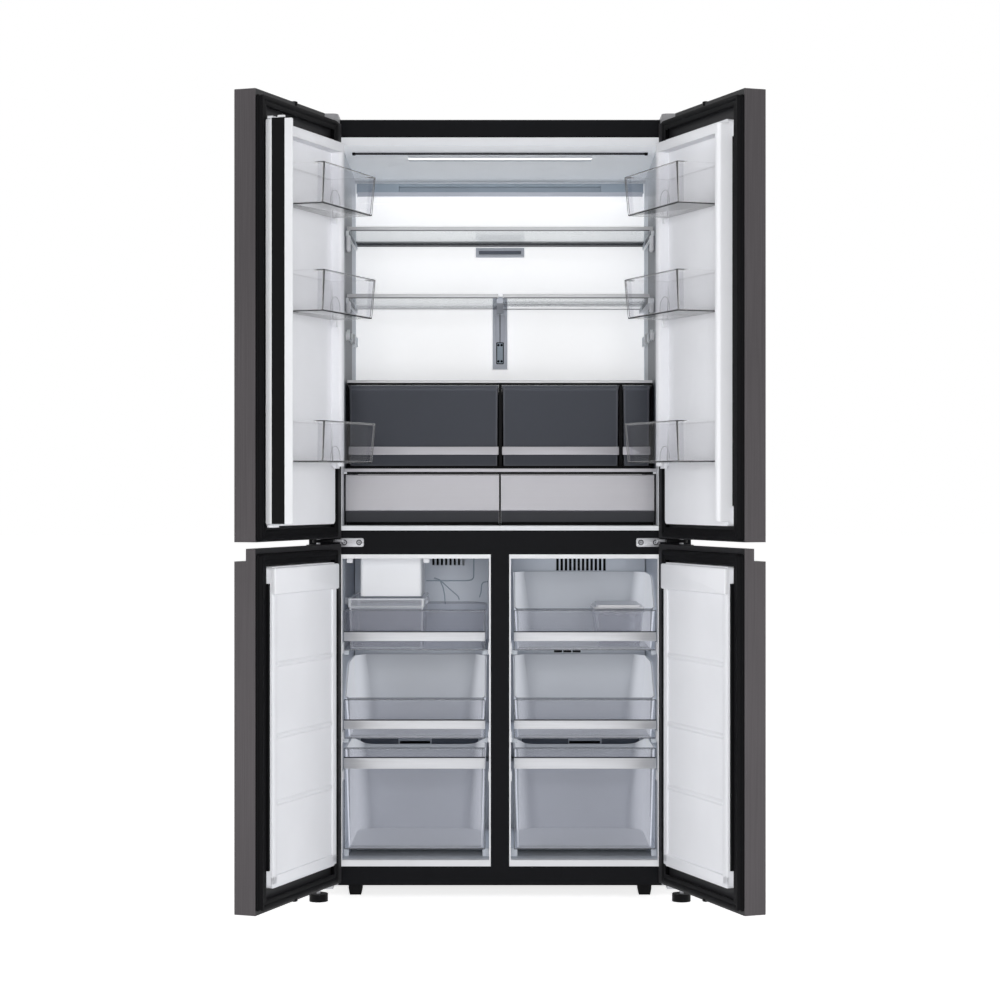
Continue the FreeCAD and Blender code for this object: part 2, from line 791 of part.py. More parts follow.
def fridge_liner():
    outer = block("lining_outer", FRIDGE_HOLE, ("0", "fridge_back"), ("fridge_bottom", "fridge_top"))
    back = "fridge_back - fridge_wall"
    corners = [("-plate", "fridge_floor"), (back, "fridge_floor")]
    corners += [(back, "ceiling_rear"), ("-plate", "ceiling_front")]
    cavity = prism("lining_cavity", "YZ", corners, f"-{WALL}", WALL)
    hollow = cut("lining_hollow", outer, [cavity])
    shelf_run = ("shelf_front", "shelf_back")
    ribs = []
    for name, side in SIDES:
        for label, top in (("upper", "upper_shelf"), ("middle", "middle_shelf")):
            wide = "slide_rib_width" if (label, side) == ("middle", RIGHT) else "shelf_rib_width"
            up = (f"{top} - shelf_rib_height", top)
            ribs.append(fridge_rib(f"{label}_{name}_rib", side, wide, shelf_run, up))
        for step in range(SIZES["peg_count"]):
            start = f"peg_front + {step} * peg_pitch"
            run = (start, f"{start} + peg_length")
            up = ("peg_low", "peg_high")
            ribs.append(fridge_rib(f"{name}_peg_{step}", side, "shelf_rib_width", run, up))
        run = ("pantry_cover_front", "crisper_back")
        up = ("pantry_cover_low - pantry_rib", "pantry_cover_low")
        ribs.append(fridge_rib(f"pantry_{name}_rib", side, "shelf_rib_width", run, up))
    run = ("rear_half_front", "shelf_back")
    up = ("middle_shelf", "rear_half_low")
    ribs.append(fridge_rib("rear_half_rib", RIGHT, "shelf_rib_width", run, up))
    ribbed = join("lining_ribbed", [hollow] + ribs)
    lamp = lamp_block("lamp_seat")
    wide = ("-groove_half", "groove_half")
    deep = ("groove_front", "groove_front + groove_width")
    groove = block("ceiling_groove", wide, deep, ("lamp_low", "ceiling_front + groove_width"))
    node("fridge_liner", cut("lining_formed", ribbed, [lamp, groove]))


def lamp_block(name):
    wide = ("-lamp_half", "lamp_half")
    return block(name, wide, ("lamp_front", "lamp_back"), ("lamp_low", "lamp_high"))


def ceiling_lamp():
    node("ceiling_lamp", lamp_block("lamp_lens"))


def fridge_duct():
    back = "fridge_back - fridge_wall"
    wide = ("-duct_half", "duct_half")
    panel = block("duct_panel", wide, ("duct_front", back), ("duct_low", "duct_high"))
    up = ("duct_slot_low", "duct_slot_high")
    wide = ("-duct_step_half", "duct_step_half")
    deep = ("duct_front - duct_step_depth", "duct_front + duct_step_depth")
    step = block("duct_step", wide, deep, up)
    wide = ("-duct_slot_half", "duct_slot_half")
    deep = ("duct_front", "duct_front + duct_slot_depth")
    slot = block("duct_slot", wide, deep, up)
    return cut("duct_cover", panel, [step, slot])


def duct_fittings():
    wide = ("-tower_half", "tower_half")
    deep = ("tower_front", "duct_front")
    column = block("tower_column", wide, deep, ("tower_low", "tower_high"))
    arm_up = ("middle_shelf - shelf_rib_height", "middle_shelf")
    arm = block("tower_arm", ("-arm_half", "arm_half"), ("arm_front", "tower_front + shelf_seat"), arm_up)
    deep = ("tower_front - tower_slot_depth", "tower_front + tower_slot_depth")
    wide = ("-tower_slot_half", "tower_slot_half")
    slot = block("tower_slot", wide, deep, ("tower_slot_low", "tower_slot_high"))
    tower = cut("tower", join("tower_with_arm", [column, arm]), [slot])
    wide = ("-filter_half", "filter_half")
    deep = ("duct_front - filter_depth", "duct_front")
    frame = block("filter_frame", wide, deep, ("filter_low", "filter_high"))
    window = block(
        "filter_window",
        ("filter_rim - filter_half", "filter_half - filter_rim"),
        ("duct_front - 2 * filter_depth", "duct_front - filter_recess"),
        ("filter_low + filter_rim", "filter_high - filter_rim"),
    )
    node("duct_fittings", group("duct_pair", [tower, cut("filter_cover", frame, [window])]))


SHELF_INSIDE = ("shelf_front + shelf_edge", "shelf_back - shelf_edge")


def shelf_glass():
    wide = ("-shelf_half", "shelf_half")
    panes = [pane("upper_pane", wide, SHELF_INSIDE, "upper_shelf + shelf_seat")]
    left_half = ("-shelf_half", "-shelf_gap")
    panes.append(pane("middle_left_pane", left_half, SHELF_INSIDE, "middle_shelf + shelf_seat"))
    rear = ("rear_half_front + shelf_edge", "shelf_back - shelf_edge")
    panes.append(pane("middle_rear_pane", ("shelf_gap", "shelf_half"), rear, "rear_half_low"))
    crisper = ("crisper_front + shelf_gap", "crisper_back")
    panes.append(pane("crisper_pane", ("-crisper_half", "crisper_half"), crisper, "crisper_top"))
    full = (f"-{WALL}", WALL)
    run = ("pantry_cover_front + shelf_edge", "crisper_back")
    panes.append(block("pantry_pane", full, run, ("pantry_cover_low", "pantry_cover_high")))
    node("shelf_glass", group("panes", panes))


def pane(name, x, y, low):
    return block(name, x, y, (low, f"{low} + glass"))


def shelf_trims():
    front = ("shelf_front", "shelf_front + shelf_edge")
    rear = ("shelf_back - shelf_edge", "shelf_back")
    wide = ("-shelf_half", "shelf_half")
    left_half = ("-shelf_half", "-shelf_gap")
    right_half = ("shelf_gap", "shelf_half")
    upper = ("upper_shelf", "upper_shelf + shelf_trim")
    middle = ("middle_shelf", "middle_shelf + shelf_trim")
    strips = [
        block("upper_front_strip", wide, front, upper),
        block("upper_rear_strip", wide, rear, upper),
        block("middle_front_strip", left_half, front, middle),
        block("middle_rear_strip", left_half, rear, middle),
        block("rear_half_strip", right_half, rear, ("rear_half_low", "rear_half_low + shelf_trim")),
    ]
    run = ("rear_half_front", "rear_half_front + shelf_edge")
    up = ("rear_half_low", "rear_half_low + rear_half_trim")
    strips.append(block("rear_half_lip", right_half, run, up))
    run = ("crisper_front - shelf_gap", "crisper_front + shelf_gap")
    crisper = ("crisper_top", "crisper_top + crisper_cover")
    strips.append(block("crisper_strip", ("-crisper_half", "crisper_half"), run, crisper))
    run = ("pantry_cover_front", "pantry_cover_front + shelf_edge")
    cover = ("pantry_cover_low", "pantry_cover_high")
    strips.append(block("pantry_strip", (f"-{WALL}", WALL), run, cover))
    node("shelf_trims", group("strips", strips))


def sliding_shelf():
    wide = ("shelf_gap + shelf_seat", "slide_half")
    inner = ("shelf_front + shelf_edge", "slide_back")
    glass = pane("slide_pane", wide, inner, "middle_shelf")
    front = ("shelf_front", "shelf_front + shelf_edge")
    strip = block("slide_strip", wide, front, ("middle_shelf", "middle_shelf + shelf_trim"))
    node("sliding_shelf", group("slide_pair", [glass, strip]))


def crisper_frame():
    run = ("crisper_front", "crisper_back")
    whole = ("-crisper_half", "crisper_half")
    stand = ("pantry_cover_high", "crisper_floor")
    upright = ("pantry_cover_high", "crisper_top")
    pieces = [block("crisper_floor_plate", whole, run, stand)]
    for name, side in SIDES:
        cheek = across(side, "crisper_half - crisper_cheek", "crisper_half")
        pieces.append(block(f"crisper_{name}_cheek", cheek, run, upright))
    walls = (
        ("middle", "drawer_gap - crisper_left_start", "crisper_right_start - drawer_gap"),
        ("right", "crisper_right_end + drawer_gap", "crisper_narrow_start - drawer_gap"),
    )
    for name, low, high in walls:
        pieces.append(block(f"crisper_{name}_wall", (low, high), run, upright))
    front = ("crisper_front", "crisper_front + shelf_edge")
    pieces.append(block("crisper_front_rail", whole, front, ("crisper_top - crisper_rail", "crisper_top")))
    node("crisper_frame", join("crisper_housing", pieces))


# Open tubs: drawers, bins and buckets
def tub(name, x, y, z, wall, front_wall=None, radius=None, chosen=lambda middle: True):
    # An open box from its outside sizes; upright edges rounded where they are chosen.
    floor, rim = z
    inner_x = (f"({x[0]}) + {wall}", f"({x[1]}) - {wall}")
    inner_y = (f"({y[0]}) + {front_wall or wall}", f"({y[1]}) - {wall}")
    outer = prism(name + "_outer", "XY", rectangle(x, y), floor, rim)
    plan = rectangle(inner_x, inner_y)
    hollow = prism(name + "_hollow", "XY", plan, f"({floor}) + {wall}", f"({rim}) + {wall}")
    if radius:
        soften(outer, radius, "z", chosen)
        soften(hollow, f"{radius} - {wall}", "z", chosen)
    return cut(name + "_tub", outer, [hollow])


CRISPERS = (
    ("left", "-crisper_left_end", "-crisper_left_start"),
    ("right", "crisper_right_start", "crisper_right_end"),
    ("narrow", "crisper_narrow_start", "crisper_narrow_end"),
)


def crisper_drawers():
    for name, low, high in CRISPERS:
        wide = (low, high)
        body = tub(
            f"crisper_{name}",
            wide,
            ("crisper_front", "crisper_drawer_back"),
            ("crisper_floor", "crisper_drawer_top"),
            "crisper_wall",
            "crisper_front_wall",
        )
        proud = ("crisper_front - crisper_strip", "crisper_front")
        strip = block(f"crisper_{name}_strip", wide, proud, ("crisper_strip_low", "crisper_strip_high"))
        node(f"crisper_{name}_drawer", group(f"crisper_{name}_pair", [body, strip]))


def pantry_drawers():
    for name, side in SIDES:
        wide = across(side, "pantry_start", "pantry_end")
        narrower = across(side, "pantry_start + drawer_gap", "pantry_end - 3 * drawer_gap")
        behind = "pantry_front + pantry_panel"
        node(
            f"pantry_{name}_drawer",
            tub(
                f"pantry_{name}",
                narrower,
                (behind, "pantry_back"),
                ("fridge_floor", "pantry_tub_top"),
                "pantry_wall",
            ),
        )
        panel = prism(
            f"pantry_{name}_panel",
            "XY",
            rectangle(wide, ("pantry_front", behind)),
            "pantry_panel_low",
            "pantry_panel_top",
        )
        soften(panel, "pantry_wall", "x", lambda middle: middle.y < number("pantry_front + plate"))
        grip_run = (f"{behind} - pantry_grip", behind)
        grip = block(f"pantry_{name}_grip", wide, grip_run, ("pantry_grip_low", "pantry_panel_low"))
        node(f"pantry_{name}_front", group(f"pantry_{name}_face", [panel, grip]))


BAYS = (
    ("top", "bay_back"),
    ("middle", "bay_back"),
    ("low", "bay_low_back"),
)


def freezer_drawers():
    for name, side in SIDES:
        wide = across(side, "bay_inner", "bay_outer")
        inside = (f"({wide[0]}) + bay_wall", f"({wide[1]}) - bay_wall")
        for level, back in BAYS:
            title = f"freezer_{name}_{level}"
            floor = f"{level}_bay_floor"
            front_top = f"{level}_bay_front"
            corners = [("bay_front", floor), (back, floor), (back, f"{level}_bay_back")]
            if level != "low":
                corners.append(("bay_front + bay_slope_end", f"{level}_bay_back"))
                corners.append(("bay_front + bay_slope_start", front_top))
            corners.append(("bay_front", front_top))
            outer = prism(title + "_outer", "YZ", corners, *wide)
            deep = ("bay_front + bay_wall", f"{back} - bay_wall")
            up = (f"{floor} + bay_wall", f"{level}_bay_back + bay_wall")
            hollow = block(title + "_hollow", inside, deep, up)
            bay = cut(title + "_tub", outer, [hollow])
            proud = ("bay_front - bay_trim", "bay_front")
            trim = prism(
                title + "_trim", "XY", rectangle(wide, proud), f"{level}_trim_low", f"{level}_trim_high"
            )
            soften(trim, "bay_wall", "x", lambda middle: middle.y < number("bay_front - bay_wall"))
            node(title + "_drawer", group(title + "_pair", [bay, trim]))


def ice_makers():
    wide = across(LEFT, "ice_maker_inner", "ice_maker_outer")
    deep = ("ice_maker_front", "ice_maker_back")
    housing = prism("ice_maker_housing", "XY", rectangle(wide, deep), "ice_maker_low", "freezer_ceiling")
    soften(housing, "ice_maker_radius", "z")
    node("ice_maker", housing)
    wide = across(LEFT, "bucket_inner", "bucket_outer")
    deep = ("bucket_front", "bucket_back")
    up = ("top_bay_floor + bay_wall", "bucket_top")
    node("ice_bucket", tub("ice_bucket", wide, deep, up, "bucket_wall"))
    deep = ("ice_box_front", "ice_box_back")
    up = ("top_bay_floor + bay_wall", "ice_box_top")
    wide = ("ice_box_inner", "ice_box_outer")
    node("ice_box", tub("ice_box", wide, deep, up, "bucket_wall"))


# Freezer compartments
def freezer_liners():
    linings = []
    for name, side in SIDES:
        outer = freezer_space(f"{name}_freezer_outer", side, "0")
        corners = freezer_corners(
            "-plate",
            "freezer_floor",
            "freezer_step_back - freezer_wall",
            "freezer_step_top + freezer_wall",
            "freezer_back - freezer_wall",
            "freezer_ceiling",
        )
        inside = across(side, "freezer_inner + freezer_wall", "freezer_outer - freezer_wall")
        cavity = prism(f"{name}_freezer_cavity", "YZ", corners, *inside)
        pieces = [cut(f"{name}_freezer_hollow", outer, [cavity])]
        outer_wall = "freezer_outer - freezer_wall"
        inner_wall = "freezer_inner + freezer_wall"
        walls = (
            ("outer", f"{outer_wall} - rail_width", "freezer_outer - freezer_wall / 2"),
            ("inner", "freezer_inner + freezer_wall / 2", f"{inner_wall} + inner_rail_width"),
        )
        for wall, low, high in walls:
            wide = across(side, low, high)
            for level, back in (("top", "bay_back"), ("middle", "bay_back"), ("low", "low_rail_back")):
                floor = f"{level}_bay_floor"
                under = "freezer_floor - plate" if level == "low" else f"{floor} - rail_height"
                run = ("rail_front", back)
                pieces.append(block(f"{name}_{wall}_{level}_rail", wide, run, (under, floor)))
        linings.append(join(f"{name}_freezer_lining", pieces))
    node("freezer_liners", group("freezer_linings", linings))


def freezer_duct(name, side):
    whole = across(side, "cover_inner", "cover_outer")
    deep = ("cover_front", "cover_back")
    panel = block(f"{name}_duct_panel", whole, deep, ("cover_low", "freezer_ceiling"))
    through = ("cover_front - plate", "cover_back + plate")
    up = (f"{name}_grille_low", "grille_high")
    slots = []
    for step in range(SIZES[f"{name}_grille_slots"]):
        start = f"{name}_grille_start + {step} * grille_pitch"
        wide = across(side, start, f"{start} + grille_slot")
        slots.append(block(f"{name}_grille_{step}", wide, through, up))
    return cut(f"{name}_freezer_duct", panel, slots)


def duct_panels():
    freezer = [freezer_duct(name, side) for name, side in SIDES]
    node("duct_panels", group("duct_covers", [fridge_duct()] + freezer))


# Doors
DOORS = (
    ("upper_left", "upper", LEFT),
    ("upper_right", "upper", RIGHT),
    ("lower_left", "lower", LEFT),
    ("lower_right", "lower", RIGHT),
)


def door_blank(name, level, side, margin):
    # The slab, its front and sides drawn in by a margin, less its hinge notch or finger recess.
    wide = across(side, f"door_free + {margin}", f"cabinet_half - {margin}")
    deep = (f"{margin} - door_front", "-door_rear")
    up = (f"{level}_door_low", f"{level}_door_high")
    slab = prism(name + "_slab", "XZ", rectangle(wide, up), *deep)
    free_edge = number("door_free + cabinet_half") / 2
    soften(
        slab,
        f"door_corner - {margin}",
        "z",
        lambda middle: abs(middle.x) < free_edge and middle.y < number("-door_rear - door_corner"),
    )
    if level == "upper":
        wide = across(side, "notch_start", "cabinet_half + plate")
        deep = ("-door_front - plate", "plate - door_rear")
        up = ("notch_low", "upper_door_high + plate")
    else:
        wide = across(side, "door_free - plate", "grip_end")
        deep = ("-door_front - plate", "grip_depth - door_front")
        up = ("grip_low", "lower_door_high + plate")
    return cut(name, slab, [block(name + "_recess", wide, deep, up)])


def hinge_bores(name, level, side):
    # Bores for the pins at the top and bottom of a door.
    top = "notch_low" if level == "upper" else "lower_door_high"
    radius = "pin_radius + running_fit"
    depth = "(pin_length + pin_room)"
    place = (at(side, "hinge_line"), "-hinge_reach")
    upper = rod(name + "_top_bore", *place, f"{top} - {depth}", radius, f"{depth} + plate")
    lower = rod(name + "_low_bore", *place, f"{level}_door_low - plate", radius, f"{depth} + plate")
    return [upper, lower]


def door_shells():
    for name, level, side in DOORS:
        outer = door_blank(name + "_skin_outer", level, side, "0")
        inner = door_blank(name + "_skin_inner", level, side, "skin")
        node(f"{name}_door_skin", swing(cut(name + "_skin", outer, [inner]), side))
        core = door_blank(name + "_core_blank", level, side, "skin")
        bored = cut(name + "_core", core, hinge_bores(name, level, side))
        node(f"{name}_door_core", swing(bored, side))


def gaskets():
    for name, level, side in DOORS:
        low, high = f"{level}_gasket_low", f"{level}_gasket_high"
        deep = ("-door_rear", "-gasket_gap")
        ring = block(name + "_ring", across(side, "gasket_free", "gasket_hinge"), deep, (low, high))
        inside = across(side, "gasket_free + gasket_width", "gasket_hinge - gasket_width")
        through = ("-door_rear - plate", "plate")
        up = (f"{low} + gasket_width", f"{high} - gasket_width")
        hole = block(name + "_ring_hole", inside, through, up)
        node(f"{name}_gasket", swing(cut(name + "_seal", ring, [hole]), side))


def lining_panel(name, side, free, low, high):
    wide = across(side, free, "lining_hinge")
    panel = prism(name + "_panel", "XZ", rectangle(wide, (low, high)), "-door_rear", "lining_face")
    return soften(panel, "lining_radius", "y")


def lining_ears(name, side, free, low, high):
    # Corner ears that keep the lining's free edge down inside the gasket.
    wide = across(side, "ear_free", f"{free} + lining_radius")
    deep = ("-door_rear", "ear_depth - door_rear")
    ears = []
    for label, foot in (("low", f"{low} + ear_inset"), ("high", f"{high} - ear_inset - ear_height")):
        ears.append(block(f"{name}_{label}_ear", wide, deep, (foot, f"{foot} + ear_height")))
    return ears


def dyke(name, x, low, high):
    ridge = prism(name, "XZ", rectangle(x, (low, high)), "lining_face - plate", "dyke_top")
    crest = number("dyke_top - skin")
    return soften(ridge, "dyke_radius", "z", lambda middle: middle.y > crest)


BINS = ("low", "middle", "high")


def upper_linings():
    for name, side in SIDES:
        title = f"upper_{name}"
        free = f"{name}_lining_free"
        low, high = "upper_lining_low", "upper_lining_high"
        pieces = [lining_panel(title + "_lining", side, free, low, high)]
        pieces += lining_ears(title + "_lining", side, free, low, high)
        run_low = "upper_lining_low + lining_radius"
        run_high = "upper_lining_high - lining_radius"
        free_wide = across(side, free, f"{free} + dyke_width")
        hinge_wide = across(side, "lining_hinge - dyke_width", "lining_hinge")
        pieces.append(dyke(title + "_free_dyke", free_wide, run_low, run_high))
        pieces.append(dyke(title + "_hinge_dyke", hinge_wide, "dyke_low", run_high))
        between = across(side, f"{free} + dyke_radius", "lining_hinge - dyke_radius")
        deep = ("lining_face - plate", "dyke_top")
        top_rim = (f"{run_high} - dyke_width", run_high)
        pieces.append(block(title + "_top_rim", between, deep, top_rim))
        lug_deep = ("bin_lug_front", "bin_lug_front + bin_lug")
        for level in BINS:
            up = (f"{level}_bin_floor - bin_lug", f"{level}_bin_floor")
            inner = across(side, "lining_hinge - dyke_width - bin_lug", "lining_hinge - dyke_width / 2")
            outer = across(side, f"{free} + dyke_width / 2", f"{free} + dyke_width + bin_lug")
            pieces.append(block(f"{title}_{level}_hinge_lug", inner, lug_deep, up))
            pieces.append(block(f"{title}_{level}_free_lug", outer, lug_deep, up))
        if side == LEFT:
            pieces += mullion_lugs()
        node(f"{title}_door_liner", swing(join(title + "_lining_whole", pieces), side))


PIVOT_X = "-(mullion_free + mullion_thick / 2)"
PIVOT_Y = "mullion_start + mullion_thick / 2"


def mullion_lugs():
    # Lugs above and below the flip mullion, each with the pin it turns on.
    pieces = []
    wide = across(LEFT, "lug_free", "left_lining_free + lining_radius")
    deep = ("lining_face - plate", f"{PIVOT_Y} + lug_height")
    places = (
        ("high", "mullion_high + pivot_gap", "mullion_high - pivot_depth"),
        ("low", "mullion_low - pivot_gap - lug_height", "mullion_low - pivot_gap - plate"),
    )
    for name, low, pin in places:
        pieces.append(block(f"mullion_{name}_lug", wide, deep, (low, f"{low} + lug_height")))
        length = "pivot_depth + pivot_gap + plate"
        pieces.append(rod(f"mullion_{name}_pivot", PIVOT_X, PIVOT_Y, pin, "pivot_radius", length))
    return pieces


def flip_mullion():
    wide = across(LEFT, "mullion_free", "mullion_free + mullion_thick")
    deep = ("mullion_start", "mullion_start + mullion_wide")
    bar = block("mullion_bar", wide, deep, ("mullion_low", "mullion_high"))
    face = across(LEFT, "mullion_free", "mullion_free + mullion_plate")
    start = "mullion_start + mullion_margin"
    run = (start, f"{start} + mullion_plate_width")
    up = ("mullion_low + mullion_plate_inset", "mullion_high - mullion_plate_inset")
    radius = "pivot_radius + running_fit"
    depth = "(pivot_depth + pivot_gap)"
    bores = [
        rod("mullion_low_bore", PIVOT_X, PIVOT_Y, "mullion_low - plate", radius, f"{depth} + plate"),
        rod("mullion_high_bore", PIVOT_X, PIVOT_Y, f"mullion_high - {depth}", radius, f"{depth} + plate"),
    ]
    recess = block("mullion_recess", face, run, up)
    bar_whole = cut("mullion_bored", bar, [recess] + bores)
    face_plate = block("mullion_face", face, run, up)
    node("flip_mullion", swing(group("mullion_pair", [bar_whole, face_plate]), LEFT))


def lower_linings():
    for name, side in SIDES:
        title = f"lower_{name}"
        free = "lower_lining_free"
        low, high = "lower_lining_low", "lower_lining_high"
        pieces = [lining_panel(title + "_lining", side, free, low, high)]
        pieces += lining_ears(title + "_lining", side, free, low, high)
        inside = across(side, f"{free} + ridge_margin", "lining_hinge - ridge_margin")
        deep = ("lining_face - plate", "lining_face + band_depth")
        pieces.append(block(title + "_band", inside, deep, ("band_low", "band_high")))
        for place in ("first", "second", "third"):
            middle = f"ridge_{place}"
            corners = [
                ("lining_face - plate", f"{middle} - ridge_height"),
                ("lining_face", f"{middle} - ridge_height"),
                ("lining_face + ridge_depth", f"{middle} - ridge_height / 3"),
                ("lining_face + ridge_depth", f"{middle} + ridge_height / 3"),
                ("lining_face", f"{middle} + ridge_height"),
                ("lining_face - plate", f"{middle} + ridge_height"),
            ]
            pieces.append(prism(f"{title}_{place}_ridge", "YZ", corners, *inside))
        node(f"{title}_door_liner", swing(join(title + "_lining_whole", pieces), side))


def door_bins():
    for name, side in SIDES:
        bins = []
        for level in BINS:
            wide = across(side, f"{name}_lining_free + dyke_width + bin_margin", "bin_hinge")
            bins.append(
                tub(
                    f"{level}_{name}_bin",
                    wide,
                    ("lining_face", "bin_front"),
                    (f"{level}_bin_floor", f"{level}_bin_top"),
                    "bin_wall",
                    radius="bin_radius",
                    chosen=lambda middle: middle.y > number("dyke_top"),
                )
            )
        node(f"upper_{name}_bins", swing(group(f"{name}_bins", bins), side))


# Hinges, screws and feet
def top_hinges():
    hinges = []
    for name, side in SIDES:
        wide = across(side, "top_hinge_inner", "top_hinge_outer")
        front = ("-top_hinge_front", "-skin")
        plan = rectangle(wide, front)
        cover = prism(f"{name}_hinge_cover", "XY", plan, "top_hinge_low", "top_hinge_high")
        middle_x = number("top_hinge_inner + top_hinge_outer") / 2
        middle_y = -number("top_hinge_front") / 2
        soften(cover, "top_hinge_radius", "z", lambda edge: abs(edge.x) < middle_x and edge.y < middle_y)
        run = ("-2 * skin", "top_hinge_back")
        strap = block(f"{name}_hinge_strap", wide, run, ("cabinet_top", "top_hinge_high"))
        pin_low = "top_hinge_low - pin_length"
        place = (at(side, "hinge_line"), "-hinge_reach")
        pin = rod(f"{name}_top_pin", *place, pin_low, "pin_radius", "pin_length + plate")
        hinges.append(join(f"{name}_top_hinge", [cover, strap, pin]))
    node("top_hinges", group("top_hinge_pair", hinges))


def mid_hinges():
    hinges = []
    for name, side in SIDES:
        left, right = across(side, "mid_plate_inner", "fridge_half")
        up = ("mid_plate_low + mid_plate_corner", "mid_plate_high - mid_plate_corner")
        along = (f"{left} + mid_plate_corner", f"{right} - mid_plate_corner")
        face = [
            (along[0], "mid_plate_low"),
            (along[1], "mid_plate_low"),
            (right, up[0]),
            (right, up[1]),
            (along[1], "mid_plate_high"),
            (along[0], "mid_plate_high"),
            (left, up[1]),
            (left, up[0]),
        ]
        plate = prism(f"{name}_mid_plate", "XZ", face, "-mid_plate_thick", "0")
        root = across(side, "fridge_half - arm_root", "arm_outer")
        up = ("arm_low", "arm_high")
        back = block(f"{name}_mid_root", root, ("-arm_root", "0"), up)
        reach = across(side, "arm_inner", "arm_outer")
        arm = block(f"{name}_mid_arm", reach, ("-arm_reach", "-arm_root / 2"), up)
        place = (at(side, "hinge_line"), "-hinge_reach")
        length = "2 * pin_length + arm_high - arm_low"
        pin = rod(f"{name}_mid_pin", *place, "arm_low - pin_length", "pin_radius", length)
        hinges.append(join(f"{name}_mid_hinge", [plate, back, arm, pin]))
    node("mid_hinges", group("mid_hinge_pair", hinges))


def bottom_hinges():
    hinges = []
    for name, side in SIDES:
        face = across(side, "low_plate_inner", "low_plate_outer")
        up = ("cabinet_base + plate", "low_plate_top")
        plate = block(f"{name}_low_plate", face, ("-low_plate_thick", "0"), up)
        reach = across(side, "arm_inner", "arm_outer")
        run = ("-arm_reach", "-low_plate_thick / 2")
        arm = block(f"{name}_low_arm", reach, run, ("low_arm_low", "low_arm_high"))
        place = (at(side, "hinge_line"), "-hinge_reach")
        pin = rod(f"{name}_low_pin", *place, "low_arm_high - plate", "pin_radius", "pin_length + plate")
        hinges.append(join(f"{name}_low_hinge", [plate, arm, pin]))
    node("bottom_hinges", group("bottom_hinge_pair", hinges))


def levelling_feet():
    feet = []
    corners = [
        ("0", "0"),
        ("foot_radius", "0"),
        ("foot_radius", "foot_height"),
        ("stud_radius", "foot_height"),
        ("stud_radius", "low_arm_low"),
        ("0", "low_arm_low"),
    ]
    for name, side in SIDES:
        feet.append(revolve(f"{name}_foot", corners, at(side, "hinge_line"), "-hinge_reach"))
    node("levelling_feet", group("feet", feet))


def support_legs():
    shape = [
        ("leg_inner", "cabinet_base"),
        ("leg_inner", "leg_shoulder"),
        ("leg_inner + leg_taper", "0"),
        ("leg_outer - leg_taper", "0"),
        ("leg_outer", "leg_shoulder"),
        ("leg_outer", "cabinet_base"),
    ]
    legs = []
    for name, side in SIDES:
        corners = [(at(side, place), up) for place, up in shape]
        for row, front in (("front", "leg_front"), ("rear", "rear_leg_front")):
            legs.append(prism(f"{name}_{row}_leg", "XZ", corners, front, f"{front} + leg_depth"))
    node("support_legs", group("legs", legs))


# Cooling system
def compressor():
    floor = "cabinet_base + plate"
    top = f"{floor} + compressor_height"
    corners = [
        ("0", f"{floor} + compressor_base / 2"),
        ("compressor_radius", f"{floor} + compressor_base / 2"),
        ("compressor_radius", top),
        ("0", top),
    ]
    place = ("compressor_side", "compressor_back")
    pot = revolve("compressor_pot", corners, *place)
    wide = ("compressor_side - compressor_foot", "compressor_side + compressor_foot")
    deep = ("compressor_back - compressor_foot / 2", "compressor_back + compressor_foot / 2")
    stand = block("compressor_stand", wide, deep, (floor, f"{floor} + compressor_base"))
    node("compressor", join("compressor_whole", [pot, stand]))


def fin_pack(name, x, y, z):
    # A bank of tubes, drawn as one block, with upright fins across it.
    inner_y = (f"({y[0]}) + fin_proud", f"({y[1]}) - fin_proud")
    inner_z = (f"({z[0]}) + fin_proud", f"({z[1]}) - fin_proud")
    pieces = [block(f"{name}_bank", x, inner_y, inner_z)]
    for step in range(SIZES["coil_fins"]):
        low = f"({x[0]}) + {step} * (({x[1]}) - ({x[0]}) - coil_fin) / (coil_fins - 1)"
        pieces.append(block(f"{name}_fin_{step}", (low, f"{low} + coil_fin"), y, z))
    return join(name, pieces)


def heat_exchangers():
    wide = ("condenser_start", "condenser_end")
    deep = ("condenser_front", "condenser_back")
    packs = [fin_pack("condenser", wide, deep, ("cabinet_base + plate", "condenser_high"))]
    for name, side in SIDES:
        wide = across(side, "cover_inner + evaporator_margin", "cover_outer - evaporator_margin")
        deep = ("evaporator_front", "freezer_back - freezer_wall")
        packs.append(fin_pack(f"{name}_evaporator", wide, deep, ("evaporator_low", "evaporator_high")))
    node("heat_exchangers", group("coils", packs))


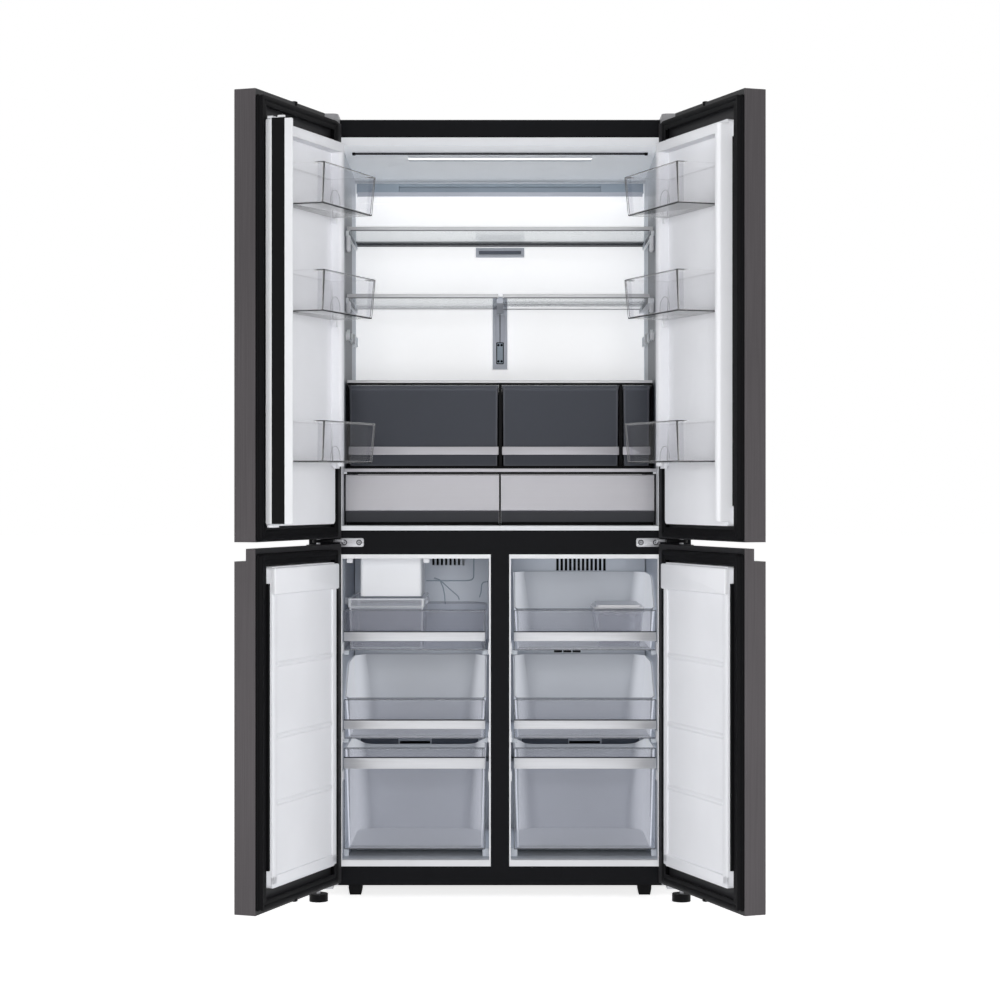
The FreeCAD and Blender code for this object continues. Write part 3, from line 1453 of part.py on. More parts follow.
def fan(name, hub_radius, depth, reach, shaft):
    # A bored hub with pitched blades about the body's own Y axis, its front at Y 0.
    body = doc.addObject("PartDesign::Body", name)
    hub = body.newObject("PartDesign::AdditiveCylinder", name + "_hub")
    bind(hub, "Radius", hub_radius)
    bind(hub, "Height", depth)
    hub.Placement = FreeCAD.Placement(FreeCAD.Vector(), FreeCAD.Rotation(FreeCAD.Vector(1, 0, 0), -90))
    blade = body.newObject("PartDesign::AdditiveBox", name + "_blade")
    bind(blade, "Length", f"{depth} * blade_share")
    bind(blade, "Width", "fan_blade")
    bind(blade, "Height", f"{reach} - {hub_radius} / 2")
    start = (f"-{depth} * blade_start", f"{depth} * blade_lift", f"{hub_radius} / 2")
    blade.Placement = FreeCAD.Placement(
        FreeCAD.Vector(*[number(text) for text in start]),
        FreeCAD.Rotation(FreeCAD.Vector(0, 0, 1), number("fan_pitch")),
    )
    doc.recompute()
    ring = body.newObject("PartDesign::PolarPattern", name + "_blades")
    ring.Originals = [blade]
    axis = next(f for f in body.Origin.OriginFeatures if f.Role == "Y_Axis")
    ring.Axis = (axis, [""])
    ring.Angle = 360
    ring.Occurrences = SIZES["fan_blades"]
    body.Tip = ring
    bore = along_y(name + "_bore", "0", f"-{depth}", "0", f"{shaft} + running_fit", f"3 * {depth}")
    return cut(name + "_wheel", body, [bore])


def place_fan(thing, x, y, z):
    for letter, text in zip("xyz", (x, y, z)):
        bind(thing, f"Placement.Base.{letter}", text)
    return thing


COLD_MOTOR_FRONT = "freezer_back - freezer_wall - cold_motor_depth"
COLD_FAN_FRONT = f"{COLD_MOTOR_FRONT} - fan_play - cold_fan_depth"
FAN_FRONT = "fan_back - fan_depth"


def fans():
    wheel = fan("condenser_blower", "fan_hub", "fan_depth", "fan_radius", "fan_shaft")
    node("condenser_fan", place_fan(wheel, "fan_side", FAN_FRONT, "fan_height"))
    cold = fan("cold_blower", "fan_hub", "cold_fan_depth", "cold_fan_radius", "fan_shaft")
    node("evaporator_fan", place_fan(cold, "cold_fan_side", COLD_FAN_FRONT, "cold_fan_height"))


def fan_motors():
    start = f"{FAN_FRONT} + fan_depth + fan_play"
    axis = ("fan_side", "fan_height")
    can = along_y("fan_can", axis[0], start, axis[1], "fan_motor_radius", "fan_motor_depth")
    length = "fan_depth + fan_play + plate"
    shaft = along_y("fan_spindle", axis[0], FAN_FRONT, axis[1], "fan_shaft", length)
    wide = ("fan_side - fan_post / 2", "fan_side + fan_post / 2")
    deep = (f"{start} + fan_play", f"{start} + fan_motor_depth")
    post = block("fan_stand", wide, deep, ("cabinet_base + plate", "fan_height"))
    warm = join("fan_motor", [can, shaft, post])
    axis = ("cold_fan_side", "cold_fan_height")
    can = along_y("cold_can", axis[0], COLD_MOTOR_FRONT, axis[1], "fan_motor_radius", "cold_motor_depth")
    length = "cold_fan_depth + fan_play + plate"
    shaft = along_y("cold_spindle", axis[0], COLD_FAN_FRONT, axis[1], "fan_shaft", length)
    node("fan_motors", group("motors", [warm, join("cold_motor", [can, shaft])]))


def build():
    for make in (
        cabinet_shell,
        rear_cover,
        insulation_foam,
        front_frame,
        base_plinth,
        fridge_liner,
        ceiling_lamp,
        duct_panels,
        duct_fittings,
        shelf_glass,
        shelf_trims,
        sliding_shelf,
        crisper_frame,
        crisper_drawers,
        pantry_drawers,
        freezer_liners,
        freezer_drawers,
        ice_makers,
        door_shells,
        gaskets,
        upper_linings,
        lower_linings,
        door_bins,
        flip_mullion,
        top_hinges,
        mid_hinges,
        bottom_hinges,
        levelling_feet,
        support_legs,
        compressor,
        heat_exchangers,
        fans,
        fan_motors,
    ):
        make()
    doc.recompute()


def check_and_write():
    failed = [thing.Name for thing in doc.Objects if {"Invalid", "Error"} & set(thing.State)]
    if failed:
        raise RuntimeError(f"these objects failed to build: {failed}")
    for thing in nodes:
        if thing.Shape.isNull() or not thing.Shape.isValid():
            raise RuntimeError(f"the shape of {thing.Label} is empty or not valid")
    os.makedirs("parts", exist_ok=True)
    for thing in nodes:
        thing.Shape.exportStep(f"parts/{thing.Label}.step")
        print(thing.Label, len(thing.Shape.Solids), round(thing.Shape.Volume / 1000, 2), "cm3")


build()
check_and_write()
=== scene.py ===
# Looks of the four-door refrigerator: finishes, small fittings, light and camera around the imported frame
import json
import math

import bmesh
import bpy
import numpy as np
from mathutils import Matrix, Vector


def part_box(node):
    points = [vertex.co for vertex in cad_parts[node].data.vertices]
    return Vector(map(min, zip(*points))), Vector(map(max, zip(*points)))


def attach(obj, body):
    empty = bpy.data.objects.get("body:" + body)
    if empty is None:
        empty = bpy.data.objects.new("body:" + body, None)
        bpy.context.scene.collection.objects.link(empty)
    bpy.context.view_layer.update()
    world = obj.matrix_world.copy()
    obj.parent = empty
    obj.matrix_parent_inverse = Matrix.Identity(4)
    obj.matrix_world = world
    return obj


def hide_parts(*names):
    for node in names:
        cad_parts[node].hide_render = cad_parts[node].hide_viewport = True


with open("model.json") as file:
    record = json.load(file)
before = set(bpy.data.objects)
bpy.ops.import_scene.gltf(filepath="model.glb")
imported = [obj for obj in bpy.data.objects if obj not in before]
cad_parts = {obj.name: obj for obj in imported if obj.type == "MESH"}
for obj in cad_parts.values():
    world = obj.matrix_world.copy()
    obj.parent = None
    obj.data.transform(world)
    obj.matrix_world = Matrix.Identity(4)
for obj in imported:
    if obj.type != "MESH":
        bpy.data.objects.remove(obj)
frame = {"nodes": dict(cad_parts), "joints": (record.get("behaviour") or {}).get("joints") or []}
nodes = frame["nodes"]
joints = {joint["name"]: joint for joint in frame["joints"]}
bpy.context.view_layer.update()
scene = bpy.context.scene
mm = 0.001


# Shader sums: a Term is one socket, and its operators add Math nodes
class Term:
    def __init__(self, finish, socket):
        self.finish = finish
        self.socket = socket

    def reckon(self, operation, *terms):
        return self.finish.node("Math", {"operation": operation}, dict(enumerate(terms)))

    def __add__(self, other):
        return self.reckon("ADD", self, other)

    def __radd__(self, other):
        return self.reckon("ADD", other, self)

    def __sub__(self, other):
        return self.reckon("SUBTRACT", self, other)

    def __rsub__(self, other):
        return self.reckon("SUBTRACT", other, self)

    def __mul__(self, other):
        return self.reckon("MULTIPLY", self, other)

    def __abs__(self):
        return self.reckon("ABSOLUTE", self)

    def atMost(self, limit):
        return self.reckon("MINIMUM", self, limit)

    def ramp(self, low, high):  # 0 below low, 1 above high, smooth between
        settings = {"interpolation_type": "SMOOTHSTEP"}
        return self.finish.node("MapRange", settings, {0: self, 1: low, 2: high})


class Finish:
    def __init__(self, owner):
        self.owner = owner
        owner.use_nodes = True
        self.tree = owner.node_tree
        self.tree.nodes.clear()

    def node(self, kind, settings, sockets, output=0):
        made = self.tree.nodes.new("ShaderNode" + kind)
        for key, value in settings.items():
            setattr(made, key, value)
        for key, value in sockets.items():
            if isinstance(value, Term):
                self.tree.links.new(value.socket, made.inputs[key])
            else:
                made.inputs[key].default_value = value
        return Term(self, made.outputs[output])

    def split(self, kind):  # the three parts of the place (Object) or of the facing (Normal)
        whole = self.node("TexCoord", {}, {}, kind)
        return [self.node("SeparateXYZ", {}, {0: whole}, way) for way in "XYZ"]

    def noise(self, stretch, detail=2.0):  # one stretch for all axes, or three
        place = self.node("TexCoord", {}, {}, "Object")
        scale = np.broadcast_to(stretch, 3).tolist()
        spot = self.node("Mapping", {}, {"Vector": place, "Scale": scale})
        return self.node("TexNoise", {}, {"Vector": spot, "Scale": 1.0, "Detail": detail})

    def slant(self):  # 0 where the surface faces the eye, 1 where it is seen edge on
        edgeOn = self.node("LayerWeight", {}, {"Blend": 0.5}, "Facing")
        return edgeOn * edgeOn * edgeOn

    def mix(self, share, first, second):
        sockets = {0: share, 6: first, 7: second}
        return self.node("Mix", {"data_type": "RGBA"}, sockets, 2)

    def surface(self, height, depth, edge):  # rounded edges, then fine relief
        rounded = self.node("Bevel", {"samples": 4}, {"Radius": edge})
        sockets = {"Strength": 0.35, "Distance": depth, "Height": height, "Normal": rounded}
        return self.node("Bump", {}, sockets)

    def seen(self):  # 1 for rays from the eye, off gloss or through glass
        kinds = ("Camera", "Glossy", "Transmission")
        camera, glossy, through = [self.node("LightPath", {}, {}, f"Is {kind} Ray") for kind in kinds]
        return (camera + glossy + through).atMost(1.0)

    def close(self, shader, kind="Material"):
        output = self.tree.nodes.new("ShaderNodeOutput" + kind)
        self.tree.links.new(shader.socket, output.inputs["Surface"])
        return self.owner

    def solid(self, sockets):
        return self.node("BsdfPrincipled", {}, sockets)

    def partly(self, share, tint, sockets):  # a share of solid surface over a tinted clear one
        through = self.node("BsdfTransparent", {}, {"Color": tint})
        return self.close(self.node("MixShader", {}, {0: share, 1: through, 2: self.solid(sockets)}))


def newFinish(name):
    return Finish(bpy.data.materials.new(name))


def tone(red, green, blue):  # a colour as seen on screen, as scene light
    seen = np.array([red, green, blue]) / 255
    light = np.where(seen <= 0.04045, seen / 12.92, ((seen + 0.055) / 1.055) ** 2.4)
    return (*light.tolist(), 1.0)


def shaded(colour, share):  # a colour made lighter or darker by a share
    return (*[min(1.0, part * share) for part in colour[:3]], 1.0)


white = (1.0, 1.0, 1.0, 1.0)
black = (0.0, 0.0, 0.0, 1.0)


# Finishes
def plasticFinish(name, look):  # moulded plastic or paint: fine grain, faint mottling, soft edges
    finish = newFinish(name)
    fine = finish.noise(look["grain"], 3.0)
    broad = finish.noise(9.0)
    drift = broad.ramp(0.3, 0.7)
    colour = finish.mix(drift, shaded(look["colour"], 1 - look["drift"]), look["colour"])
    sockets = {
        "Base Color": colour,
        "Roughness": look["roughness"] + fine * 0.1 - 0.05,
        "Specular IOR Level": look["gloss"],
        "Normal": finish.surface(fine, look["relief"], look["edge"]),
        # the glow, where a finish has one, is painted light
        "Emission Color": look["colour"],
        "Emission Strength": look.get("glow", 0.0),
    }
    return finish.close(finish.solid(sockets))


def brushedFinish(name, look):  # drawn metal: streaks stretched along one axis
    finish = newFinish(name)
    streak = finish.noise(look["stretch"], 4.0)
    broad = finish.noise((3.0, 3.0, 2.0))
    worn = (streak * 0.7 + broad * 0.3).ramp(0.35, 0.65)
    dark = shaded(look["colour"], 1 - look["drift"])
    light = shaded(look["colour"], 1 + look["drift"])
    sockets = {
        "Base Color": finish.mix(worn, dark, light),
        "Metallic": look["metal"],
        "Roughness": look["roughness"] + streak * 0.16 - 0.08,
        "Normal": finish.surface(streak, look["relief"], look["edge"]),
    }
    return finish.close(finish.solid(sockets))


def clearFinish(name, look):  # see-through plastic or glass: body, gloss at a slant, darker cut edges
    finish = newFinish(name)
    cut = finish.node("Attribute", {"attribute_name": "cutEdge"}, {}, "Fac")
    fine = finish.noise(220.0)
    slant = finish.slant()
    share = (look["body"] + slant * look["sheen"] + cut * look["edgeBody"] + fine * 0.015).atMost(1.0)
    colour = finish.mix(cut, look["colour"], look["edgeColour"])
    sockets = {
        "Base Color": colour,
        "Roughness": look["roughness"],
        "Specular IOR Level": look["gloss"],
        "Normal": finish.surface(fine, 0.0001, 0.001),
    }
    return finish.partly(share, look["tint"], sockets)


def paneFinish(name, look):  # shelf glass: clear over its faces, deep green along its cut edges
    finish = newFinish(name)
    rise = abs(finish.split("Normal")[2])
    cut = 1 - rise.ramp(0.3, 0.7)
    slant = finish.slant()
    smear = finish.noise(14.0, 3.0)
    share = (look["body"] + slant * look["sheen"] + cut * look["edgeBody"]).atMost(1.0)
    sockets = {
        "Base Color": finish.mix(cut, look["colour"], look["edgeColour"]),
        "Roughness": look["roughness"] + smear * 0.06,
    }
    return finish.partly(share, look["tint"], sockets)


def lampFinish(name, look):  # a lens that glows in a band along its middle
    finish = newFinish(name)
    y = finish.split("Object")[1]
    low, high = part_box("ceiling_lamp")
    off = abs(y - (low.y + high.y) / 2)
    band = 1 - off.ramp(look["half"], look["half"] + look["fade"])
    sockets = {
        "Base Color": look["lens"],
        "Roughness": 0.4,
        "Emission Color": finish.mix(band, black, look["core"]),
        "Emission Strength": look["strength"],
    }
    return finish.close(finish.solid(sockets))


def tubFinish(name, look):  # white drawer plastic with painted light: a glow on the sides and floor stands in for the light that falls on them
    finish = newFinish(name)
    fine = finish.noise(300.0)
    drift = finish.noise(6.0).ramp(0.3, 0.7)
    aside, upward = finish.split("Normal")[::2]
    # painted light: side walls and upward faces take a glow in place of the light falling on them
    lit = abs(aside).ramp(0.5, 0.95) + upward.ramp(0.5, 0.95) * 0.4
    sockets = {
        "Base Color": finish.mix(drift, shaded(look["colour"], 0.95), look["colour"]),
        "Roughness": look["roughness"] + fine * 0.1,
        "Specular IOR Level": look["gloss"],
        "Normal": finish.surface(fine, 0.0002, look["edge"]),
        "Emission Color": finish.mix(lit, black, look["paintedSideLight"]),
        "Emission Strength": 1.0,
    }
    return finish.close(finish.solid(sockets))


def liningFinish(name, look):  # moulded lining with painted light and shade: white mouth, painted shade greyer towards the depth of the space, painted shade on the side walls that lightens towards the rear and the top, and a painted glow on the ceiling
    finish = newFinish(name)
    y, z = finish.split("Object")[1:]
    sideways = abs(finish.split("Normal")[0])
    fine = finish.noise(400.0)
    # painted shade: the colour turns from the lip to the inner colour with depth, and the side walls take the
    # painted wall shade
    deep = y.ramp(look["mouth"], look["mouth"] + look["fade"])
    rear = y.ramp(look["rearStart"], look["rearStart"] + look["rearFade"])
    high = z.ramp(look["highStart"], look["highEnd"])
    wall = finish.mix(rear, look["wall"], look["paintedRearWallShade"])
    wall = finish.mix(high * 0.9, wall, look["paintedHighWallLight"])
    wallShadeShare = deep * sideways.ramp(0.5, 0.9)
    colour = finish.mix(deep, look["lip"], look["inner"])
    colour = finish.mix(wallShadeShare, colour, wall)
    # painted light: a glow on downward faces, the ceiling, stands in for light falling on it
    ceilingLightShare = (0 - finish.split("Normal")[2]).ramp(0.5, 0.9)
    headPaintedLight = finish.mix(deep, look["mouthPaintedLight"], look["headPaintedLight"])
    sockets = {
        "Base Color": colour,
        "Specular IOR Level": 0.15,
        "Roughness": look["roughness"] + fine * 0.08,
        "Emission Color": finish.mix(ceilingLightShare, black, headPaintedLight),
        "Emission Strength": 1.0,
        "Normal": finish.surface(fine, 0.0004, look["edge"]),
    }
    return finish.close(finish.solid(sockets))


# Moulded plastics: colour, drift, grain, roughness, gloss, relief, rounding of edges, and glow if any (the
# glow is painted light, as no plastic here is a lamp)
plasticKeys = ("colour", "drift", "grain", "roughness", "gloss", "relief", "edge", "glow")
plastics = {
    "cabinetPaint": (tone(78, 76, 77), 0.06, 900, 0.42, 0.45, 0.0002, 0.001),
    "rearPaint": (tone(150, 151, 153), 0.02, 500, 0.55, 0.35, 0.0003, 0.001),
    "foam": (tone(226, 208, 158), 0.15, 160, 0.9, 0.2, 0.001, 0.001),
    "framePaint": (tone(14, 15, 18), 0.1, 900, 0.45, 0.1, 0.0002, 0.001),
    "doorCore": (tone(44, 44, 46), 0.1, 800, 0.42, 0.12, 0.0003, 0.0012),
    "blackPlastic": (tone(10, 10, 12), 0.1, 700, 0.4, 0.1, 0.0003, 0.001),
    "seal": (tone(10, 10, 12), 0.15, 500, 0.62, 0.1, 0.0004, 0.002),
    "whiteLining": (tone(235, 236, 240), 0.02, 300, 0.5, 0.1, 0.0003, 0.002),
    # painted light: the ice maker's glow
    "iceMakerWhite": (tone(244, 245, 248), 0.02, 300, 0.5, 0.1, 0.0003, 0.002, 0.05),
    "palePlastic": (tone(196, 200, 210), 0.05, 500, 0.4, 0.45, 0.0003, 0.001),
    # painted light: the back panel's glow
    "backPanel": (tone(247, 247, 248), 0.01, 260, 0.42, 0.2, 0.0002, 0.0015, 0.42),
    "ductBlue": (tone(158, 170, 182), 0.05, 400, 0.4, 0.4, 0.0002, 0.001),
    "freezerDuct": (tone(214, 219, 227), 0.04, 400, 0.4, 0.4, 0.0002, 0.001),
    "darkTrim": (tone(60, 61, 65), 0.05, 600, 0.38, 0.15, 0.0002, 0.001),
    # painted shade: grey for recesses and slots
    "recessGrey": (tone(104, 109, 120), 0.05, 600, 0.5, 0.15, 0.0002, 0.001),
    "hingeGrey": (tone(146, 146, 149), 0.05, 500, 0.4, 0.5, 0.0003, 0.002),
    "barGrey": (tone(122, 123, 126), 0.05, 500, 0.4, 0.3, 0.0002, 0.001),
    "mullionWhite": (tone(222, 223, 226), 0.02, 300, 0.4, 0.3, 0.0003, 0.002),
}
# Drawn metals: colour, drift, stretch of the streaks, metal share, roughness, relief, rounding of edges
metalKeys = ("colour", "drift", "stretch", "metal", "roughness", "relief", "edge")
metals = {
    "doorSteel": (tone(85, 82, 84), 0.1, (700, 700, 5), 1, 0.38, 0.0002, 0.0012),
    "silverTrim": (tone(204, 205, 209), 0.04, (5, 600, 600), 0.6, 0.36, 0.0001, 0.0012),
    "pantryFace": (tone(177, 176, 181), 0.015, (4, 900, 900), 0.7, 0.34, 0.0001, 0.001),
    "hingeSteel": (tone(184, 185, 189), 0.06, (40, 500, 500), 0.8, 0.3, 0.0001, 0.001),
    "shelfTrim": (tone(199, 200, 202), 0.04, (5, 600, 600), 0.7, 0.36, 0.0001, 0.0012),
    "fins": (tone(200, 201, 203), 0.12, (900, 30, 30), 0.9, 0.4, 0.0004, 0.0005),
    "motorMetal": (tone(140, 141, 144), 0.1, (60, 400, 60), 0.9, 0.4, 0.0002, 0.001),
}
# Clear plastics: colour, tint, body, sheen, colour and body of cut edges, roughness, gloss
clearKeys = ("colour", "tint", "body", "sheen", "edgeColour", "edgeBody", "roughness", "gloss")
clears = {
    "clearPlastic": (tone(236, 236, 236), white, 0, 0.06, tone(24, 25, 28), 1, 0.1, 0.6),
    "binFront": (tone(236, 236, 236), tone(247, 247, 248), 0, 0.06, tone(24, 25, 28), 1, 0.1, 0.6),
    "smokedPlastic": (
        tone(104, 107, 116), tone(146, 150, 158), 0.5, 0.12, tone(88, 90, 96), 0.75, 0.16, 0.12),
    "clearFront": (tone(206, 209, 216), tone(249, 249, 250), 0.03, 0.15, tone(108, 113, 122), 0.55, 0.1, 0.6),
    "iceClear": (tone(222, 225, 231), tone(251, 251, 252), 0.17, 0.3, tone(240, 242, 246), 0.7, 0.2, 0.6),
    "iceWhite": (tone(250, 250, 252), tone(246, 247, 249), 0.85, 0.1, tone(240, 242, 246), 1, 0.3, 0.6),
}
# Finishes with a formula of their own
# painted light: the side glow brightens the drawers' sides and floor
drawerPlastic = {
    "colour": tone(198, 201, 206), "paintedSideLight": shaded(tone(215, 217, 222), 0.5), "roughness": 0.4,
    "gloss": 0.3, "edge": 0.0015,
}
shelfPane = {
    "colour": tone(214, 217, 219), "tint": tone(251, 252, 252), "body": 0.04, "sheen": 0.3,
    "edgeColour": tone(88, 97, 98), "edgeBody": 0.5, "roughness": 0.05,
}
lampGlass = {"lens": tone(226, 230, 236), "core": white, "half": 0.012, "fade": 0.006, "strength": 1.0}
# Lining looks: the wall colours are painted shade on the side walls, lighter towards the rear and the top;
# the freezer's greyer inner colour is painted shade; the mouth and head glows are painted light on the
# ceiling
fridgeSpace = {
    "lip": tone(238, 240, 244), "inner": tone(240, 243, 247), "wall": tone(79, 86, 95),
    "paintedRearWallShade": tone(188, 194, 202), "paintedHighWallLight": tone(226, 230, 235), "mouth": 0.03, "fade": 0.12,
    "rearStart": 0.375, "rearFade": 0.01, "highStart": 1.62, "highEnd": 1.74, "roughness": 0.36,
    "edge": 0.002, "mouthPaintedLight": (0.26, 0.265, 0.275, 1.0), "headPaintedLight": (0.1, 0.105, 0.112, 1.0),
}
# painted shade on the freezer's walls
freezerWallShade = tone(190, 196, 205)
freezerSpace = {
    "lip": tone(246, 247, 250), "inner": tone(214, 219, 226), "wall": freezerWallShade,
    "paintedRearWallShade": freezerWallShade, "paintedHighWallLight": freezerWallShade, "mouth": 0.012, "fade": 0.02,
    "rearStart": 0.4, "rearFade": 0.05, "highStart": 2.0, "highEnd": 2.1, "roughness": 0.38, "edge": 0.002,
    "mouthPaintedLight": black, "headPaintedLight": black,
}
finishes = {
    "drawerWhite": tubFinish("drawerWhite", drawerPlastic),
    "shelfGlass": paneFinish("shelfGlass", shelfPane),
    "lampLens": lampFinish("lampLens", lampGlass),
    "fridgeLining": liningFinish("fridgeLining", fridgeSpace),
    "freezerLining": liningFinish("freezerLining", freezerSpace),
}
for name, values in plastics.items():
    finishes[name] = plasticFinish(name, dict(zip(plasticKeys, values)))
for name, values in metals.items():
    finishes[name] = brushedFinish(name, dict(zip(metalKeys, values)))
for name, values in clears.items():
    finishes[name] = clearFinish(name, dict(zip(clearKeys, values)))
print("finishes made:", len(finishes))


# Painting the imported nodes: one finish, or more where a test on the triangles' middles picks them
def faceMiddles(mesh):
    middles = np.empty(len(mesh.polygons) * 3)
    mesh.polygons.foreach_get("center", middles)
    return middles.reshape(-1, 3)


def paint(name, finish, *others):
    mesh = nodes[name].data
    mesh.materials.clear()
    middles = faceMiddles(mesh)
    index = np.zeros(len(middles), np.int32)
    mesh.materials.append(finishes[finish])
    for order, (other, test) in enumerate(others, start=1):
        mesh.materials.append(finishes[other])
        index[test(*middles.T)] = order
    mesh.polygons.foreach_set("material_index", index)
    mesh.update()


plain = {
    "cabinet_shell": "cabinetPaint", "rear_cover": "rearPaint", "insulation_foam": "foam",
    "front_frame": "framePaint", "base_plinth": "blackPlastic", "ceiling_lamp": "lampLens",
    "duct_fittings": "palePlastic", "shelf_glass": "shelfGlass", "crisper_frame": "blackPlastic",
    "freezer_liners": "freezerLining", "ice_maker": "iceMakerWhite", "ice_bucket": "iceClear",
    "ice_box": "iceClear", "top_hinges": "hingeGrey", "mid_hinges": "hingeSteel",
    "bottom_hinges": "hingeSteel", "support_legs": "blackPlastic", "compressor": "blackPlastic",
    "heat_exchangers": "fins", "condenser_fan": "blackPlastic", "evaporator_fan": "whiteLining",
    "fan_motors": "motorMetal", "flip_mullion": "whiteLining",
}
families = {
    ("", "_door_skin"): "doorSteel", ("", "_door_core"): "doorCore", ("", "_door_liner"): "whiteLining",
    ("", "_gasket"): "seal", ("", "_bins"): "clearPlastic", ("crisper", "_drawer"): "smokedPlastic",
    ("pantry", "_drawer"): "darkTrim", ("freezer", "_drawer"): "drawerWhite",
}
for name in nodes:
    for (start, ending), finish in families.items():
        if name.startswith(start) and name.endswith(ending):
            plain[name] = finish
for name, finish in plain.items():
    paint(name, finish)
# Heights and depths in metres at which a node's finish changes
change = {
    "groove": (0.095, 0.003, 1.77), "pantryFoot": 0.0262, "rearTrim": 0.45, "halfTrim": (0.3, 1.5),
    "coverTrim": 1.1, "slidingTrim": 0.156, "footSteel": 0.0182, "outlet": 1.719, "freezerDuct": 0.85,
}
grooveDepth, grooveHalf, grooveLow = change["groove"]
# painted shade: the liner's faces along the ceiling groove take the dark trim colour
paint("fridge_liner", "fridgeLining",
      ("darkTrim", lambda x, y, z: (abs(y - grooveDepth) < grooveHalf) & (z > grooveLow)))
for side in ("left", "right"):
    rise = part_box(f"pantry_{side}_front")[0].z + change["pantryFoot"]
    paint(f"pantry_{side}_front", "pantryFace", ("darkTrim", lambda x, y, z: z < rise))
halfDepth, halfHead = change["halfTrim"]
paint("shelf_trims", "shelfTrim",
      ("darkTrim", lambda x, y, z: y > change["rearTrim"]),
      ("clearFront", lambda x, y, z: (y > halfDepth) & (z < halfHead)),
      ("pantryFace", lambda x, y, z: z < change["coverTrim"]))
paint("sliding_shelf", "shelfGlass", ("shelfTrim", lambda x, y, z: y < change["slidingTrim"]))
paint("levelling_feet", "blackPlastic", ("hingeSteel", lambda x, y, z: z > change["footSteel"]))
# the back panel's finish carries its painted glow
paint("duct_panels", "backPanel",
      ("ductBlue", lambda x, y, z: z > change["outlet"]),
      ("freezerDuct", lambda x, y, z: z < change["freezerDuct"]))
print("nodes painted")


# Surfaces: a shape is a stack of closed loops of points, and quads join each loop to the next
roundSteps = 6
sideSteps = 10
creaseAngle = math.radians(38)
guard = 2.5 * mm  # how far a cut edge's shade reaches onto the wall beside it


def stackFaces(count, around, joined):
    rows = np.arange(count if joined else count - 1)
    row, spot = np.meshgrid(rows, np.arange(around), indexing="ij")
    after = (spot + 1) % around
    above = (row + 1) % count
    corners = (row * around + spot, row * around + after, above * around + after, above * around + spot)
    return np.stack(corners, -1).reshape(-1, 4)


def addPiece(name, stacks, body, slot, finish):  # each stack: loops, whether its ends join, share of cut edge
    points, faces, cuts, start = [], [], [], 0
    for loops, joined, cut in stacks:
        count, around = loops.shape[:2]
        points.append(loops.reshape(-1, 3))
        cuts.append(np.broadcast_to(cut, loops.shape[:2]).reshape(-1))
        faces += (stackFaces(count, around, joined) + start).tolist()
        if not joined:
            faces.append((np.arange(around)[::-1] + start).tolist())
            faces.append((np.arange(around) + start + (count - 1) * around).tolist())
        start += count * around
    mesh = bpy.data.meshes.new(name)
    mesh.from_pydata(np.concatenate(points).tolist(), [], faces)
    work = bmesh.new()
    work.from_mesh(mesh)
    bmesh.ops.recalc_face_normals(work, faces=work.faces)
    work.to_mesh(mesh)
    work.free()
    edge = mesh.attributes.new("cutEdge", "FLOAT", "POINT")
    edge.data.foreach_set("value", np.concatenate(cuts).astype(np.float32))
    mesh.shade_smooth()
    mesh.set_sharp_from_angle(angle=creaseAngle)
    mesh.materials.append(finishes[finish])
    piece = bpy.data.objects.new(name, mesh)
    scene.collection.objects.link(piece)
    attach(piece, body)
    return piece


def roundedLoop(width, depth, corner):
    # four quarter circles, with a guard point before and after each on the straight sides
    quarter = np.linspace(0, math.pi / 2, roundSteps)
    turn = np.arange(4)[:, None] * (math.pi / 2) + quarter
    x = np.array([1, -1, -1, 1])[:, None] * (width / 2 - corner) + corner * np.cos(turn)
    y = np.array([1, 1, -1, -1])[:, None] * (depth / 2 - corner) + corner * np.sin(turn)
    first, last = turn[:, :1], turn[:, -1:]
    acrossX = min(guard, 0.45 * (width - 2 * corner))
    acrossY = min(guard, 0.45 * (depth - 2 * corner))
    x = np.hstack([x[:, :1] + acrossX * np.sin(first), x, x[:, -1:] - acrossX * np.sin(last)])
    y = np.hstack([y[:, :1] - acrossY * np.cos(first), y, y[:, -1:] + acrossY * np.cos(last)])
    return np.stack([x, y], -1).reshape(-1, 2)


cornerShare = np.tile([0] + [1] * roundSteps + [0], 4)


def stacked(low, high, corner, rows, axis):
    # one rounded loop for each row (inset, height above low), placed across the other two axes
    first, second = [way for way in range(3) if way != axis]
    size, middle = high - low, (low + high) / 2
    loops = np.zeros((len(rows), len(cornerShare), 3))
    for place, (inset, height) in enumerate(rows):
        tight = max(corner - inset, 0.3 * mm)
        loop = roundedLoop(size[first] - 2 * inset, size[second] - 2 * inset, tight)
        loops[place, :, first] = middle[first] + loop[:, 0]
        loops[place, :, second] = middle[second] + loop[:, 1]
        loops[place, :, axis] = low[axis] + height
    return loops


def softBlock(low, high, corner, bevel, axis=2):  # a block with rounded corners and quarter-round ends
    low, high = np.array(low) * mm, np.array(high) * mm
    corner, bevel = corner * mm, bevel * mm
    turn = np.linspace(0, math.pi / 2, 4)
    inset, rise = bevel * (1 - np.sin(turn)), bevel * (1 - np.cos(turn))
    tall = (high - low)[axis]
    rows = [*zip(inset, rise), *zip(inset[::-1], tall - rise[::-1])]
    return stacked(low, high, corner, rows, axis), False, 0


def ringBlock(low, high, corner, profile, axis):  # a closed profile of (inset, height) carried round a frame
    rows = [(inset * mm, height * mm) for inset, height in profile]
    return stacked(np.array(low), np.array(high), corner * mm, rows, axis), True, 0


def turnedPin(place, profile, axis=2, around=28):  # a profile of (radius, height) turned about an axis
    first, second = [way for way in range(3) if way != axis]
    radius, height = np.array(profile).T * mm
    angle = np.linspace(0, 2 * math.pi, around, endpoint=False)
    loops = np.tile(np.array(place) * mm, (len(profile), around, 1))
    loops[:, :, first] += radius[:, None] * np.cos(angle)
    loops[:, :, second] += radius[:, None] * np.sin(angle)
    loops[:, :, axis] += height[:, None]
    return loops, False, 0


